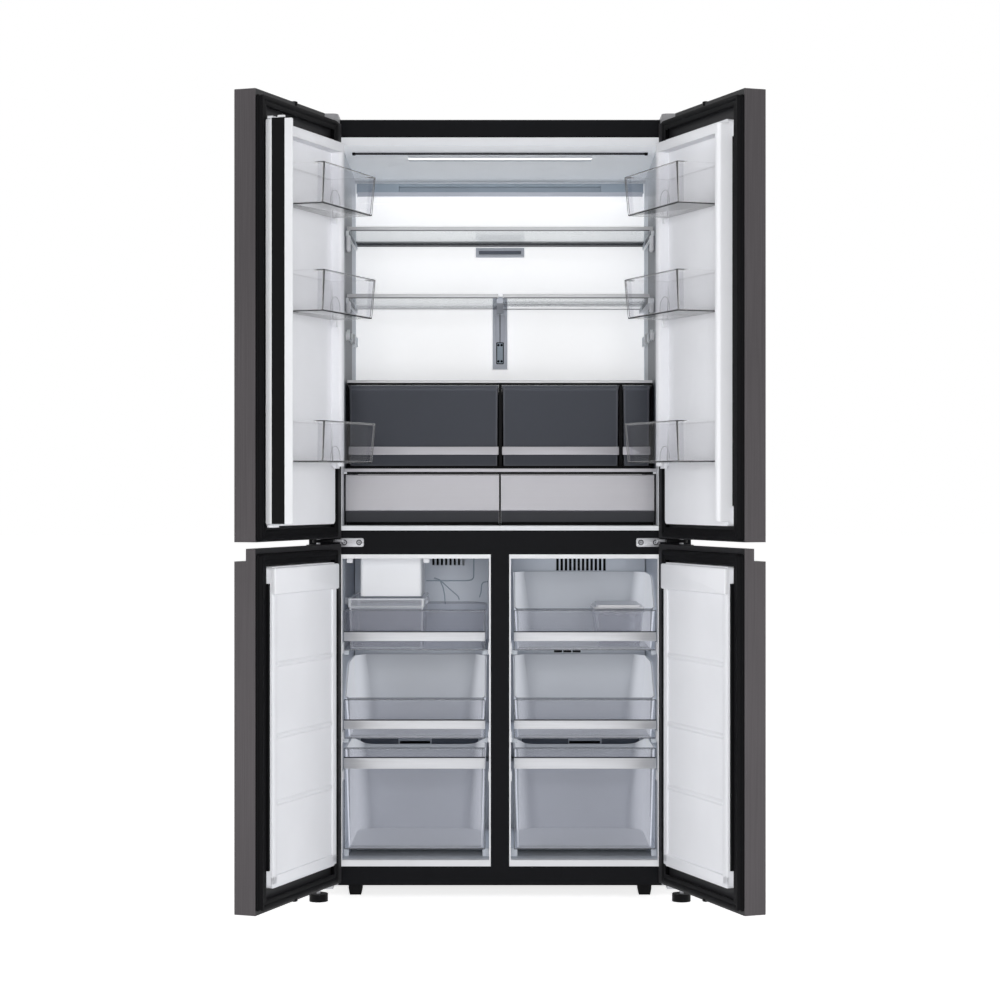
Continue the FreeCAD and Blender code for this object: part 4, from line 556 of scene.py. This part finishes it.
def tubShell(low, high, look, climb=(0, 1, 0)):
    # a wall carried from the outer floor up over the rim and down to the inner floor;
    # climb gives the shares of depth between which the rim rises, and by how many mm
    low, high = np.array(low), np.array(high)
    tall = (high - low)[2]
    rim, band = look["rim"] * mm, look["rimBand"] * mm
    wall, draft, edge = look["wall"] * mm, look["draft"] * mm, look["edge"] * mm
    foot = rim + draft
    rows = [
        (foot + edge + guard, 0, 0), (foot + edge, 0, 1), (foot, edge, 1),
        (foot - draft * 0.02, edge + guard, 0), (rim, tall - band - guard, 0), (rim, tall - band, 0.5),
        (0, tall - band + rim / 2, 0.6), (0, tall - band * 0.7, 0),
        (0, tall - edge - band * 0.15, 0), (0, tall - edge, 1), (edge, tall, 1),
        (rim + wall, tall, 1), (rim + wall, tall - guard, 0), (foot + wall, wall + edge + guard, 0),
        (foot + wall + edge, wall, 0),
    ]
    loops = stacked(low, high, look["corner"] * mm, [row[:2] for row in rows], 2)
    runs = np.linspace(0, 1, sideSteps)[1:-1, None]
    turn = len(cornerShare) // 2
    sides = ((turn - 1, turn), (-1, 0))
    leftRun, rightRun = (loops[:, [a]] + runs * (loops[:, [b]] - loops[:, [a]]) for a, b in sides)
    loops = np.hstack([loops[:, :turn], leftRun, loops[:, turn:], rightRun])
    corners = np.hstack([cornerShare[:turn], 0 * runs[:, 0], cornerShare[turn:], 0 * runs[:, 0]])
    start, end, rise = climb
    depth = (loops[:, :, 1] - low[1]) / (high[1] - low[1])
    risen = ((depth - start) / (end - start)).clip(0, 1) * rise * mm
    loops[:, :, 2] += risen * (loops[:, :, 2] - low[2]) / tall
    bend = look.get("backRound", 0) * mm
    behind = (loops[:, :, 1].max(1, keepdims=True) - loops[:, :, 1]).clip(0, bend)
    middle = (low[0] + high[0]) / 2
    half = abs(loops[:, :, 0] - middle).max(1, keepdims=True)
    loops[:, :, 0] -= (loops[:, :, 0] - middle) / half * (bend - np.sqrt(bend**2 - (bend - behind) ** 2))
    cut = np.maximum(np.array([row[2] for row in rows])[:, None], corners * look["cornerCut"])
    return loops, False, cut


def edgedPane(low, high, corner):  # a clear pane standing across the depth, with a shaded band round its edge
    low, high = np.array(low) * mm, np.array(high) * mm
    thick = (high - low)[1]
    fade, band, bevel = 4 * mm, 1.6 * mm, 0.4 * mm
    rows = [(fade, 0, 0), (band, 0, 1), (bevel, 0, 1), (0, bevel, 1), (0, thick - bevel, 1),
            (bevel, thick, 1), (band, thick, 1), (fade, thick, 0)]
    loops = stacked(low, high, corner * mm, [row[:2] for row in rows], 1)
    return loops, False, np.array([row[2] for row in rows])[:, None]


def cord(path, radius, around=10):  # a round cord along a path that stays at one depth
    path = np.array(path) * mm
    along = np.gradient(path, axis=0)
    along /= np.linalg.norm(along, axis=1)[:, None]
    deep = np.array([0, 1, 0])
    aside = np.cross(along, deep)
    angle = np.linspace(0, 2 * math.pi, around, endpoint=False)[None, :, None]
    loops = path[:, None] + radius * mm * (np.cos(angle) * aside[:, None] + np.sin(angle) * deep)
    return loops, False, 0


def hingeTurn(side, level):
    hinge = joints[f"{level}_{side}_door_hinge"]
    turn = Matrix.Rotation(math.radians(-hinge["range_deg"][0]), 3, hinge["axis"])
    return np.array(turn), np.array(hinge["pos_m"])


def swung(stack, side, level="upper"):  # a stack drawn with the door shut, turned to the open door
    turn, pivot = hingeTurn(side, level)
    loops, joined, cut = stack
    return (loops - pivot) @ turn.T + pivot, joined, cut


def shutSolids(name, side, level="upper"):
    # boxes of a door node's solids with the door shut, one for each run of heights
    turn, pivot = hingeTurn(side, level)
    mesh = nodes[name].data
    points = np.empty(len(mesh.vertices) * 3)
    mesh.vertices.foreach_get("co", points)
    points = (points.reshape(-1, 3) - pivot) @ turn + pivot
    corners = np.empty(len(mesh.loops), np.int32)
    mesh.loops.foreach_get("vertex_index", corners)
    triangles = points[corners.reshape(-1, 3)]
    low, high = triangles[:, :, 2].min(1), triangles[:, :, 2].max(1)
    order = low.argsort()
    reach = np.maximum.accumulate(high[order])
    breaks = np.flatnonzero(low[order][1:] > reach[:-1] + 5 * mm) + 1
    groups = [triangles[group].reshape(-1, 3) for group in np.split(order, breaks)]
    return [(group.min(0), group.max(0)) for group in groups]


def repaint(piece, finish, test):  # a second finish on the faces whose middles pass a test
    mesh = piece.data
    mesh.materials.append(finishes[finish])
    mesh.polygons.foreach_set("material_index", test(faceMiddles(mesh)).astype(np.int32))


sign = {"left": -1, "right": 1}
doors = [(level, side) for level in ("upper", "lower") for side in ("left", "right")]


def sided(row, side):  # a block's row given for the right side, mirrored for the left
    low, high, *rest = row
    if side == "left":
        low, high = (-high[0], low[1], low[2]), (-low[0], high[1], high[2])
    return low, high, *rest


def both(*rows):  # the same rows on both sides
    return [sided(row, side) for side in sign for row in rows]


def doorPiece(name, stacks, level, side, slot, finish):  # stacks drawn with the door shut, turned with it
    turned = [swung(stack, side, level) for stack in stacks]
    return addPiece(name, turned, f"{level}_{side}_door", slot, finish)


def nodeBox(name):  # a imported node's low and high corners, in metres
    return [np.array(corner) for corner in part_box(name)]


def shifted(low, high, row):  # a row whose corners are shifts from a box's corners, set at that box
    lowShift, highShift, *rest = row
    return np.add(low, lowShift), np.add(high, highShift), *rest


def fitted(low, high, row):
    return softBlock(*shifted(low, high, row))


blackPart = ("cabinet", "black_plastic")
palePart = ("cabinet", "pale_plastic")
liningPart = ("cabinet", "white_lining")
steelPart = ("cabinet", "hinge_steel")


# Door bins: thin clear tubs with dark front edges, on small rests, with an arch on each front wall
binLook = {
    "wall": 2.5, "corner": 2.3, "draft": 6, "edge": 1.9, "rim": 0.3, "rimBand": 3, "cornerCut": 1,
    "front": 14, "foot": 8, "faint": 0.04, "footLine": 0.5, "reach": 4,
    "heights": ((1029.5, 1120.5), (1359.5, 1450.5), (1595, 1686)),
}
restLook = {"wide": 20, "past": 12, "row": ((0, 14, -1), (20, 22, -0.2), 1, 0.4)}
archLook = {
    "start": 109, "end": 159, "foot": 2, "spring": 10, "depth": 114.4, "radius": 0.5, "steps": 17,
}


def archPath(foot):  # a half circle on two straight legs
    turn = np.linspace(math.pi, 0, archLook["steps"])
    start, end = archLook["start"], archLook["end"]
    half = (end - start) / 2
    across = np.hstack([start, (start + end) / 2 + half * np.cos(turn), end])
    rise = np.hstack([archLook["foot"], archLook["spring"] + half * np.sin(turn), archLook["foot"]])
    return np.stack([across, np.full(len(across), archLook["depth"]), foot + rise], -1)


for side in sign:
    shells, rests, arches = [], [], []
    for (low, high), (foot, head) in zip(shutSolids(f"upper_{side}_bins", side), binLook["heights"]):
        lug = low[2] / mm
        low[2], high[2] = foot * mm, head * mm
        loops, joined, cut = tubShell(low, high + [0, binLook["reach"] * mm, 0], binLook)
        front = loops[:, :, 1] > high[1] - binLook["front"] * mm
        free = abs(loops[:, :, 0]) < min(abs(low[0]), abs(high[0])) + binLook["front"] * mm
        below = loops[:, :, 2] < low[2] + binLook["foot"] * mm
        shows = np.where(below, binLook["footLine"], binLook["faint"])
        shows[front | (free & below)] = 1
        shells.append((loops, joined, cut * shows))
        near, far = sorted((abs(low[0]) / mm, abs(high[0]) / mm))
        for start in (near - restLook["past"], far + restLook["past"] - restLook["wide"]):
            row = shifted((start, 0, lug), (start, 0, foot), restLook["row"])
            rests.append(softBlock(*sided(row, side)))
        arches.append(cord(archPath(foot) * [sign[side], 1, 1], archLook["radius"]))
    piece = doorPiece(f"{side}DoorBins", shells, "upper", side, "clear_plastic", "clearPlastic")
    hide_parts(f"upper_{side}_bins")
    turn, pivot = hingeTurn(side, "upper")
    wallStart = high[1] - binLook["front"] * mm
    repaint(piece, "binFront", lambda middles: ((middles - pivot) @ turn + pivot)[:, 1] > wallStart)
    doorPiece(f"{side}BinRests", rests, "upper", side, "white_lining", "whiteLining")
    doorPiece(f"{side}BinArches", arches, "upper", side, "clear_plastic", "barGrey")

# Door seals: a folded rubber strip round each door
sealLook = {
    "corner": 9,
    "profile": [(0, 0), (0, 4), (2.4, 7), (0.8, 10.5), (1.2, 14.4), (3, 15.4), (10, 15.4), (11.8, 14.4),
                (13, 13.5), (22.5, 14.5), (24, 13.6), (23.5, 12.2), (13.5, 10.5), (11, 7), (13, 4), (13, 0)],
}
for level, side in doors:
    low, high = shutSolids(f"{level}_{side}_gasket", side, level)[0]
    ring = ringBlock(low, high, sealLook["corner"], sealLook["profile"], 1)
    piece = doorPiece(f"{level}{side.title()}Seal", [ring], level, side, "gasket_rubber", "seal")
    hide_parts(f"{level}_{side}_gasket")

# Door stops: a black stud and block with a pale cap, on the upper doors' heads and the lower doors' feet
stopLook = {
    "place": 208, "depth": -20.5, "stud": [(7.5, -6), (7.5, 1.8), (6.7, 2.6)],
    "cap": [(5.2, 2.1), (5.2, 3.2), (4, 3.7)],
    "upper": ((-6.5, -4, -13), (6.5, 0.8, 0.8), 1, 0.3, 1),
    "lower": ((-6.5, -4, -0.8), (6.5, 0.8, 13), 1, 0.3, 1),
}
for level, side in doors:
    low, high = shutSolids(f"{level}_{side}_door_core", side, level)[0]
    up = 1 if level == "upper" else -1
    edge = (high[2] if up > 0 else low[2]) / mm
    across = sign[side] * stopLook["place"]
    stud, cap = (
        turnedPin((across, stopLook["depth"], edge), [(radius, rise * up) for radius, rise in stopLook[part]])
        for part in ("stud", "cap")
    )
    corner = (across, high[1] / mm, edge)
    block = fitted(corner, corner, stopLook[level])
    name = f"{level}{side.title()}Stop"
    doorPiece(name, [stud, block], level, side, "black_plastic", "blackPlastic")
    doorPiece(name + "Cap", [cap], level, side, "hinge_grey", "hingeGrey")

# Flip mullion: white bar that narrows towards its back, black face strip, guide pin on its head
mullionLook = {
    "corner": 4, "taper": 14, "bevel": 1.5, "strip": ((-2, 15, 1), (0.4, 46, 2), 1, 0.3, 0),
    "pin": ((-12, 25.5, -6), (-4, 43.5, 8), 3.5, 1.5),
}
(low, high), = shutSolids("flip_mullion", "left")
thick, bevel, taper = high[0] - low[0], mullionLook["bevel"] * mm, mullionLook["taper"] * mm
rows = [(taper, 0), (taper - bevel, bevel), (0, thick - 2 * bevel), (0, thick - bevel),
        (0.3 * bevel, thick - 0.3 * bevel), (bevel, thick)]
bar = stacked(low, high, mullionLook["corner"] * mm, rows, 0), False, 0
piece = addPiece("mullionBar", [swung(bar, "left")], "flip_mullion", "mullion_white", "mullionWhite")
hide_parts("flip_mullion")
foot, head = (np.array([high[0], low[1], height]) / mm for height in (low[2], high[2]))
strip = fitted(foot, head, mullionLook["strip"])
addPiece("mullionStrip", [swung(strip, "left")], "flip_mullion", "black_plastic", "blackPlastic")
pin = fitted(head, head, mullionLook["pin"])
addPiece("mullionPin", [swung(pin, "left")], "flip_mullion", "mullion_white", "mullionWhite")

# Linings: the seal's black flange along the free edge of each door but the upper left, with a lip on the
# lower doors
flangeLook = {
    "upper": [((17.5, -8, 933), (36.8, -3, 1741), 0.8, 0.4)],
    "lower": [((17.5, -8, 136), (35.8, -3, 763), 0.8, 0.4),
              ((29.2, -8, 136), (35.8, 3, 763), 0.8, 0.4)],
}
for level, side in doors[1:]:
    strips = [softBlock(*sided(row, side)) for row in flangeLook[level]]
    doorPiece(f"{level}{side.title()}Flange", strips, level, side, "gasket_rubber", "seal")

# Lower linings: a raised band across the head, raised borders down both sides and along the foot
bandLook = [
    ((36.2, 4.5, 739), (374.5, 16, 797.3), 4, 3, 1),
    ((36.6, 4.5, 104), (57, 9.5, 746), 3, 2.4, 1),
    ((352, 4.5, 104), (373, 9.5, 746), 3, 2.4, 1),
    ((36.6, 4.5, 100), (373, 9.5, 124), 3, 2.4, 1),
]
for side in sign:
    bands = [softBlock(*sided(row, side)) for row in bandLook]
    doorPiece(f"{side}LiningBand", bands, "lower", side, "white_lining", "whiteLining")
print("door fittings made")

# Middle hinges: a rounded plate with two ringed screws, the arm beside it and the pin through it
midLook = {
    "plate": ((324, -3, 832), (381, 0, 853), 5, 0.8, 1),
    "root": ((372, -9, 843.5), (441, 0, 850.5), 1.5, 0.8),
    "arm": ((392, -74, 843.5), (441, -4.5, 850.5), 10, 0.8), "pinPlace": (427, -61.5, 843.5),
    "pin": [(4, -17.5), (5, -16.5), (5, 23.5), (4, 24.5)], "screws": (335.5, 370.5), "face": -3,
    "height": 842.5, "ring": [(6.6, 0.5), (6.6, -0.4), (6.1, -0.5)],
}
screwHead = [(1, 0), (1, -0.6), (2.2, -1.6), (2.9, -1.6), (3.2, -1.1), (3.5, -1.1), (3.9, -1.8),
             (4.4, -1.3), (4.6, 0.4)]
for side in sign:
    plate, root, arm = (softBlock(*sided(midLook[part], side)) for part in ("plate", "root", "arm"))
    pin = turnedPin(np.array(midLook["pinPlace"]) * [sign[side], 1, 1], midLook["pin"])
    piece = addPiece(f"{side}MidHinge", [plate, root, pin], *steelPart, "hingeSteel")
    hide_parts("mid_hinges")
    addPiece(f"{side}MidArm", [arm], *blackPart, "blackPlastic")
    spots = [(sign[side] * across, midLook["face"], midLook["height"]) for across in midLook["screws"]]
    heads = [turnedPin(spot, screwHead, axis=1) for spot in spots]
    addPiece(f"{side}MidScrews", heads, *steelPart, "hingeSteel")
    rings = [turnedPin(spot, midLook["ring"], axis=1) for spot in spots]
    addPiece(f"{side}MidRings", rings, *blackPart, "darkTrim")

# Rear panel: screws down both edges and along the head
rearLook = {"half": 425, "heights": (230, 620, 1010, 1400, 1790), "head": (-212, 0, 212)}
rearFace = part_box("rear_cover")[1].y / mm
rearHead = [(radius, -along) for radius, along in screwHead]
spots = [(way * rearLook["half"], height) for way in (-1, 1) for height in rearLook["heights"]]
spots += [(across, rearLook["heights"][-1]) for across in rearLook["head"]]
screws = [turnedPin((across, rearFace, height), rearHead, axis=1) for across, height in spots]
addPiece("rearScrews", screws, *steelPart, "hingeSteel")

# Plain blocks: each piece's body, slot and finish, then its blocks as (low, high, corner, bevel, axis)
outletSpans = ((-258, -180, 313), (178, 258, 313), (139, 160, 548), (163, 184, 548), (187, 208, 548))
runnerSpans = [(start, end, foot, head) for start, end in ((373.6, 376.3), (25.7, 28.4))
               for foot, head in ((577, 603), (366, 392), (273, 297))]
sillRow = ((3.2, 90, 882.6), (371, 98, 889.8), 1, 0.4, 0)
blockPieces = {
    "towerCatch": (*palePart, "ductBlue", [((-7.5, 496.5, 1296), (7.5, 500, 1348), 2, 0.8, 1)]),
    # painted shade: a grey strip standing in for the shade in the filter slot
    "filterSlot": (*blackPart, "recessGrey", [((-55, 516.6, 1581), (55, 519, 1590), 1.5, 0.4, 1)]),
    # The back panel's outlet: a white sill across it that carries the back panel's painted glow, a pale lip
    # in front of the slot, and its ends
    "outletSill": (*liningPart, "backPanel", [((-372, 520.6, 1715), (372, 523, 1732), 0.8, 0.4, 1)]),
    "outletLip": (*palePart, "palePlastic", [((-372, 520.8, 1719), (372, 523, 1743.5), 0.8, 0.4, 1)]),
    "outletEnds": (*palePart, "ductBlue", both(((264, 521, 1740), (374.5, 523, 1765), 0.8, 0.3, 1))),
    # Shelves: white lugs on the walls, dark lips under the front trims, the bar and lines behind
    "shelfBrackets": (*liningPart, "whiteLining", both(
        ((366.4, 150, 1551), (376.6, 172, 1592), 4.8, 2, 1),
        ((366.4, 150, 1402), (376.6, 172, 1431), 4.8, 2, 1))),
    "shelfLips": (*blackPart, "barGrey", [
        ((-366, 147.2, 1600.8), (366, 150, 1603.4), 0.8, 0.3, 1),
        ((-372, 147.2, 1435.9), (-6, 150, 1438.6), 0.8, 0.3, 1)]),
    "slidingLip": ("sliding_shelf", "black_plastic", "barGrey", [
        ((9.5, 147.2, 1435.9), (364, 150, 1438.6), 0.8, 0.3, 1)]),
    "rearBar": ("cabinet", "silver_trim", "barGrey", [
        ((-372, 486.5, 1598), (372, 497.5, 1611.5), 2, 0.8, 0)]),
    "rearLine": (*blackPart, "darkTrim", [((-372, 485.9, 1602), (372, 488, 1607.5), 0.8, 0.3, 0)]),
    "shelfLines": (*blackPart, "barGrey", [
        ((-371, 487, 1435.6), (-6, 489.5, 1437.6), 0.8, 0.3, 0),
        ((8, 487, 1434.6), (364, 489.5, 1436.6), 0.8, 0.3, 0)]),
    # painted shade: a dark strip along the ceiling groove
    "ceilingGrooveShade": (*blackPart, "darkTrim", [((-354, 93, 1779.1), (354, 97, 1785.5), 0.6, 0.4, 0)]),
    # Pantry: dark lip under the cover, fin between the drawers, strips beside them and sills under the fronts
    "pantryDark": (*blackPart, "blackPlastic", [
        ((-372, 82, 1005.4), (372, 92, 1011.5), 1, 0.4, 0),
        ((-2.1, 88, 884), (2.1, 500, 1011), 0.5, 0.3, 1),
        *both(((373.4, 84, 884), (376.6, 94, 1011), 0.6, 0.3, 2))]),
    "leftPantrySill": ("pantry_left", "black_plastic", "blackPlastic", [sided(sillRow, "left")]),
    "rightPantrySill": ("pantry_right", "black_plastic", "blackPlastic", [sillRow]),
    # A black plate behind the gap between the crispers, painted shade in the gap
    "crisperGapShade": (*blackPart, "blackPlastic", [((-16, 508, 1021), (18, 518, 1221), 2, 0.5, 2)]),
    # Freezer spaces: runner brackets, clips under the heads, dark outlets in the duct covers, grey bands of
    # painted shade in the covers' recesses
    "runnerBrackets": (*liningPart, "whiteLining", both(*[
        ((start, 2, foot), (end, 46, head), 1, 0.8, 1) for start, end, foot, head in runnerSpans])),
    "freezerClips": (*liningPart, "whiteLining", [
        ((start, 18, 793), (start + 14, 28, 804.5), 2, 1, 1) for start in (-366, -183)]),
    "outletRecessShade": (*palePart, "recessGrey", both(((56, 451.3, 310), (359, 453, 325.5), 1.5, 0.3, 1))),
    "outletRims": (*palePart, "palePlastic", both(((176, 451, 311), (262, 453, 328), 2, 0.3, 1))),
    "ductOutlets": (*blackPart, "blackPlastic", [
        ((start, 450.8, foot), (end, 453, foot + 7), 1.5, 0.4, 1) for start, end, foot in outletSpans]),
}
for name, (body, slot, finish, rows) in blockPieces.items():
    addPiece(name, [softBlock(*row) for row in rows], body, slot, finish)

# Fridge space: mullion guide at the head, wall buttons, dots and lines of the tower's catch, groove ends
guideLook = {
    "block": ((-37, 1, 1789), (37, 24, 1806), 4, 1.5, 1), "lens": (-8, 1, 1797),
    "profile": [(3.5, 0.5), (3.5, -0.4), (2.5, -0.9)],
}
guide = [softBlock(*guideLook["block"]), turnedPin(guideLook["lens"], guideLook["profile"], axis=1)]
addPiece("mullionGuide", guide, *liningPart, "whiteLining")
buttonLook = {
    "place": (377, 152, 1344), "profile": [(11, 0.5), (11, -3), (9, -5.1), (6, -6)],
}
for side in sign:
    profile = [(radius, sign[side] * along) for radius, along in buttonLook["profile"]]
    knob = turnedPin(np.array(buttonLook["place"]) * [sign[side], 1, 1], profile, axis=0)
    addPiece(f"{side}WallButton", [knob], *liningPart, "whiteLining")
towerLook = {
    "dots": [(across, 496.5, height) for across in (-4, 4) for height in (1301, 1343)],
    "profile": [(3.2, 0.4), (3.2, -0.3)], "seam": ((-0.9, 498.6, 1348), (0.9, 500, 1424), 0.4, 0.2, 1),
    "surround": ((-9.9, 498.2, 1293.6), (9.9, 500, 1350.4), 2, 0.3, 1),
}
dots = [turnedPin(spot, towerLook["profile"], axis=1) for spot in towerLook["dots"]]
dots += [softBlock(*towerLook[part]) for part in ("seam", "surround")]
addPiece("towerDots", dots, *blackPart, "blackPlastic")
grooveLook = {"place": (354, 95, 1778.5), "profile": [(3, -0.6), (4.5, 0.6), (4.5, 6)]}
beads = [turnedPin(np.array(grooveLook["place"]) * [way, 1, 1], grooveLook["profile"]) for way in (-1, 1)]
addPiece("grooveEnds", beads, *blackPart, "blackPlastic")

# Crisper tubs: smoked shells with a silver strip across each front
crisperLook = {
    "wall": 2.5, "corner": 5, "draft": 2, "edge": 1, "rim": 1.5, "rimBand": 10, "cornerCut": 0.8,
    "proud": 6, "strip": ((0, 0, 27), (0, 8, 47), 1.5, 0.8, 1),
}
for name in ("left", "right", "narrow"):
    low, high = nodeBox(f"crisper_{name}_drawer")
    tub = tubShell(low + [0, crisperLook["proud"] * mm, 0], high, crisperLook)
    piece = addPiece(f"{name}CrisperTub", [tub], f"crisper_{name}", "smoked_plastic", "smokedPlastic")
    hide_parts(f"crisper_{name}_drawer")
    end = np.array([high[0], low[1], low[2]])
    strip = fitted(low / mm, end / mm, crisperLook["strip"])
    addPiece(f"{name}CrisperStrip", [strip], f"crisper_{name}", "silver_trim", "pantryFace")

# Freezer tubs: white shells with clear fronts, rims that climb behind the front, silver trims, dark seams
freezerLook = {
    "shell": {"wall": 3, "corner": 11, "draft": 8, "edge": 1, "rim": 1, "rimBand": 4,
              "cornerCut": 0, "backRound": 55},
    "front": 50, "clear": 8, "left": (-375.4, -35), "right": (33, 375.4), "level": (0, 1, 0),
    "bar": ((0, 0, 0), (0, 2, 0), 1.8, 1, 1),
    "seam": ((1, 1.5, -0.4), (-1, 1, 2), 0.8, 0.3, 1),
    "pane": ((0, 47, -1), (0, 50.4, 0), 3),
    "top": {"head": 679.5, "trim": (604.5, 626), "climb": (0, 0.27, 78)},
    "middle": {"head": 465, "trim": (393.5, 414), "climb": (0, 0.27, 80)},
    "low": {"head": 348, "trim": (298, 324), "climb": (0.8, 1, -30)},
}
for side in sign:
    start, end = freezerLook[side]
    for level in ("top", "middle", "low"):
        look = freezerLook[level]
        body, title = f"freezer_{side}_{level}", f"freezer{side.title()}{level.title()}"
        clear = (side, level) == ("left", "top")
        low, high = nodeBox(f"{body}_drawer")
        face, front = low[1] / mm, freezerLook["front"]
        low[1], high[2] = front * mm, look["head"] * mm
        tub = tubShell(low, high, freezerLook["shell"], freezerLook["level"] if clear else look["climb"])
        finish = "clearFront" if clear else "drawerWhite"
        piece = addPiece(title + "Tub", [tub], body, "frosted_plastic", finish)
        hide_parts(f"{body}_drawer")
        if not clear:
            reach = low[1] + freezerLook["clear"] * mm
            repaint(piece, "clearFront", lambda middles: middles[:, 1] < reach)
        below, above = look["trim"]
        trim = fitted((start, face, below), (end, front, above), freezerLook["bar"])
        addPiece(title + "Trim", [trim], body, "silver_trim", "silverTrim")
        pane = shifted((start, 0, low[2] / mm), (end, 0, look["head"]), freezerLook["pane"])
        addPiece(title + "Pane", [edgedPane(*pane)], body, "clear_plastic", "clearFront")
        seam = fitted((start, face, above), (end, front, above), freezerLook["seam"])
        addPiece(title + "Seam", [seam], body, "black_plastic", "darkTrim")

# Left duct cover: its moulded lines
ribLook = {"depth": 451.8, "radius": 1.5, "steps": 8, "paths": (
    ((-190, 733), (-85, 733), (-73, 735), (-68, 741), (-67, 800)),
    ((-170, 740), (-156, 735), (-130, 712), (-108, 693), (-105, 684)),
    ((-154, 732), (-147, 716), (-143, 697), (-141, 672)),
    ((-31, 731), (-43, 729), (-47, 723), (-49, 703), (-53, 690)),
)}
ribs = []
for path in ribLook["paths"]:
    spots = np.array(path, float)
    steps = np.linspace(0, len(spots) - 1, ribLook["steps"] * len(spots))
    across, rise = (np.interp(steps, np.arange(len(spots)), spots[:, way]) for way in range(2))
    ribs.append(cord(np.stack([across, np.full(len(steps), ribLook["depth"]), rise], -1), ribLook["radius"]))
addPiece("ductRibs", ribs, *palePart, "ductBlue")

# Freezer grilles: black slots behind the covers' openings
grilleLook = {
    "pitch": 11, "head": 800, "row": ((0, 452.6, 0), (6.5, 458, 0), 1, 0.3, 1), "left": (104, 8, 773),
    "right": (145, 12, 759),
}
slots = []
for side in sign:
    first, count, foot = grilleLook[side]
    for start in first + np.arange(count) * grilleLook["pitch"]:
        row = shifted((start, 0, foot), (start, 0, grilleLook["head"]), grilleLook["row"])
        slots.append(softBlock(*sided(row, side)))
addPiece("grilleSlots", slots, *blackPart, "blackPlastic")

# Ice bucket and ice box: clear tubs with a rim band, the box with a lidded tray of round cells
bucketLook = {
    "wall": 2.5, "corner": 5, "draft": 3, "edge": 1.2, "rim": 3, "rimBand": 22, "cornerCut": 0.8,
    "ears": [((start, 62, 692), (start + 9, 112, 708), 3, 1.2, 1) for start in (-375, -181.5)],
}
low, high = nodeBox("ice_bucket")
bucket = [tubShell(low, high, bucketLook), *[softBlock(*row) for row in bucketLook["ears"]]]
piece = addPiece("iceBucket", bucket, "freezer_left_top", "clear_plastic", "iceClear")
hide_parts("ice_bucket")
boxLook = {
    "wall": 2, "corner": 10, "draft": 7, "edge": 1, "rim": 4, "rimBand": 10, "cornerCut": 0.25,
    "drop": 9,
}
low, high = nodeBox("ice_box")
box = tubShell(low, high - [0, 0, boxLook["drop"] * mm], boxLook)
piece = addPiece("iceBox", [box], "freezer_right_top", "clear_plastic", "iceClear")
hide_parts("ice_box")
trayLook = {
    "tray": ((0, 0, -12), (0, 0, -5), 10, 1.2),
    "lid": ((8, 8, -6), (-8, -8, 0), 9, 1.5),
    "cell": 15, "cellTurn": math.pi / 2 - 0.05, "cellSteps": 7, "cellDrop": 11.5, "columns": 3, "rows": 5,
    "pitch": 34, "around": 20,
}
low, high = low / mm, high / mm
parts = [fitted((low[0], low[1], high[2]), high, trayLook[part]) for part in ("tray", "lid")]
turns = np.linspace(0, trayLook["cellTurn"], trayLook["cellSteps"])
bowl = [(trayLook["cell"] * math.cos(turn), -trayLook["cell"] * math.sin(turn)) for turn in turns]
middle = (low + high) / 2
for column in np.arange(trayLook["columns"]) - (trayLook["columns"] - 1) / 2:
    for row in np.arange(trayLook["rows"]) - (trayLook["rows"] - 1) / 2:
        spot = middle[:2] + np.array([column, row]) * trayLook["pitch"]
        parts.append(turnedPin((*spot, high[2] - trayLook["cellDrop"]), bowl, around=trayLook["around"]))
addPiece("iceTray", parts, "freezer_right_top", "white_lining", "iceWhite")
print("space fittings made")


# Floor, light and camera
view = {"place": (0.0, -5.449, 0.975), "lens": 82.37, "sensor": 36.0, "shift": -0.0132}
ambient = 0.28
floorLook = {"reach": 40.0, "colour": (0.9, 0.9, 0.9, 1.0), "glow": 0.76}
# Lamps: place, aim, size, power
lamps = {
    "keyLight": ((0.0, -6.8, 1.1), (0.0, 0.0, 0.95), 2.5, 220.0),
    "leftFill": ((-5.0, -2.2, 1.3), (0.5, -0.25, 0.95), 2.0, 112.0),
    "rightFill": ((5.0, -2.2, 1.3), (-0.5, -0.25, 0.95), 2.0, 112.0),
    "fridgeGlow": ((0.0, 0.16, 1.765), (0.0, 0.42, 1.2), 0.3, 0.034),
}


def addLamp(name, place, aim, size, power):
    data = bpy.data.lights.new(name, "AREA")
    data.size = size
    data.energy = power
    lamp = bpy.data.objects.new(name, data)
    lamp.location = place
    way = Vector(aim) - Vector(place)
    lamp.rotation_euler = way.to_track_quat("-Z", "Y").to_euler()
    lamp.visible_camera = False
    lamp.visible_glossy = False
    scene.collection.objects.link(lamp)


for name, row in lamps.items():
    addLamp(name, *row)
world = Finish(bpy.data.worlds.new("studio"))
scene.world = world.owner
strength = ambient + world.seen() * (1 - ambient)
world.close(world.node("Background", {}, {"Color": white, "Strength": strength}), "World")

reach = floorLook["reach"]
mesh = bpy.data.meshes.new("floor")
corners = [(-reach, -reach, 0), (reach, -reach, 0), (reach, reach, 0), (-reach, reach, 0)]
mesh.from_pydata(corners, [], [(0, 1, 2, 3)])
floor = bpy.data.objects.new("floor", mesh)
scene.collection.objects.link(floor)
finish = newFinish("paleFloor")
matt = finish.node("BsdfDiffuse", {}, {"Color": floorLook["colour"]})
glow = finish.node("Emission", {}, {"Color": white, "Strength": finish.seen() * floorLook["glow"]})
mesh.materials.append(finish.close(finish.node("AddShader", {}, {0: matt, 1: glow})))

data = bpy.data.cameras.new("camera")
data.lens = view["lens"]
data.sensor_width = view["sensor"]
data.shift_y = view["shift"]
camera = bpy.data.objects.new("camera", data)
camera.location = view["place"]
camera.rotation_euler = (math.pi / 2, 0, 0)
scene.collection.objects.link(camera)
scene.camera = camera
scene.view_settings.view_transform = "Standard"
scene.cycles.transparent_max_bounces = 32
print("studio set")
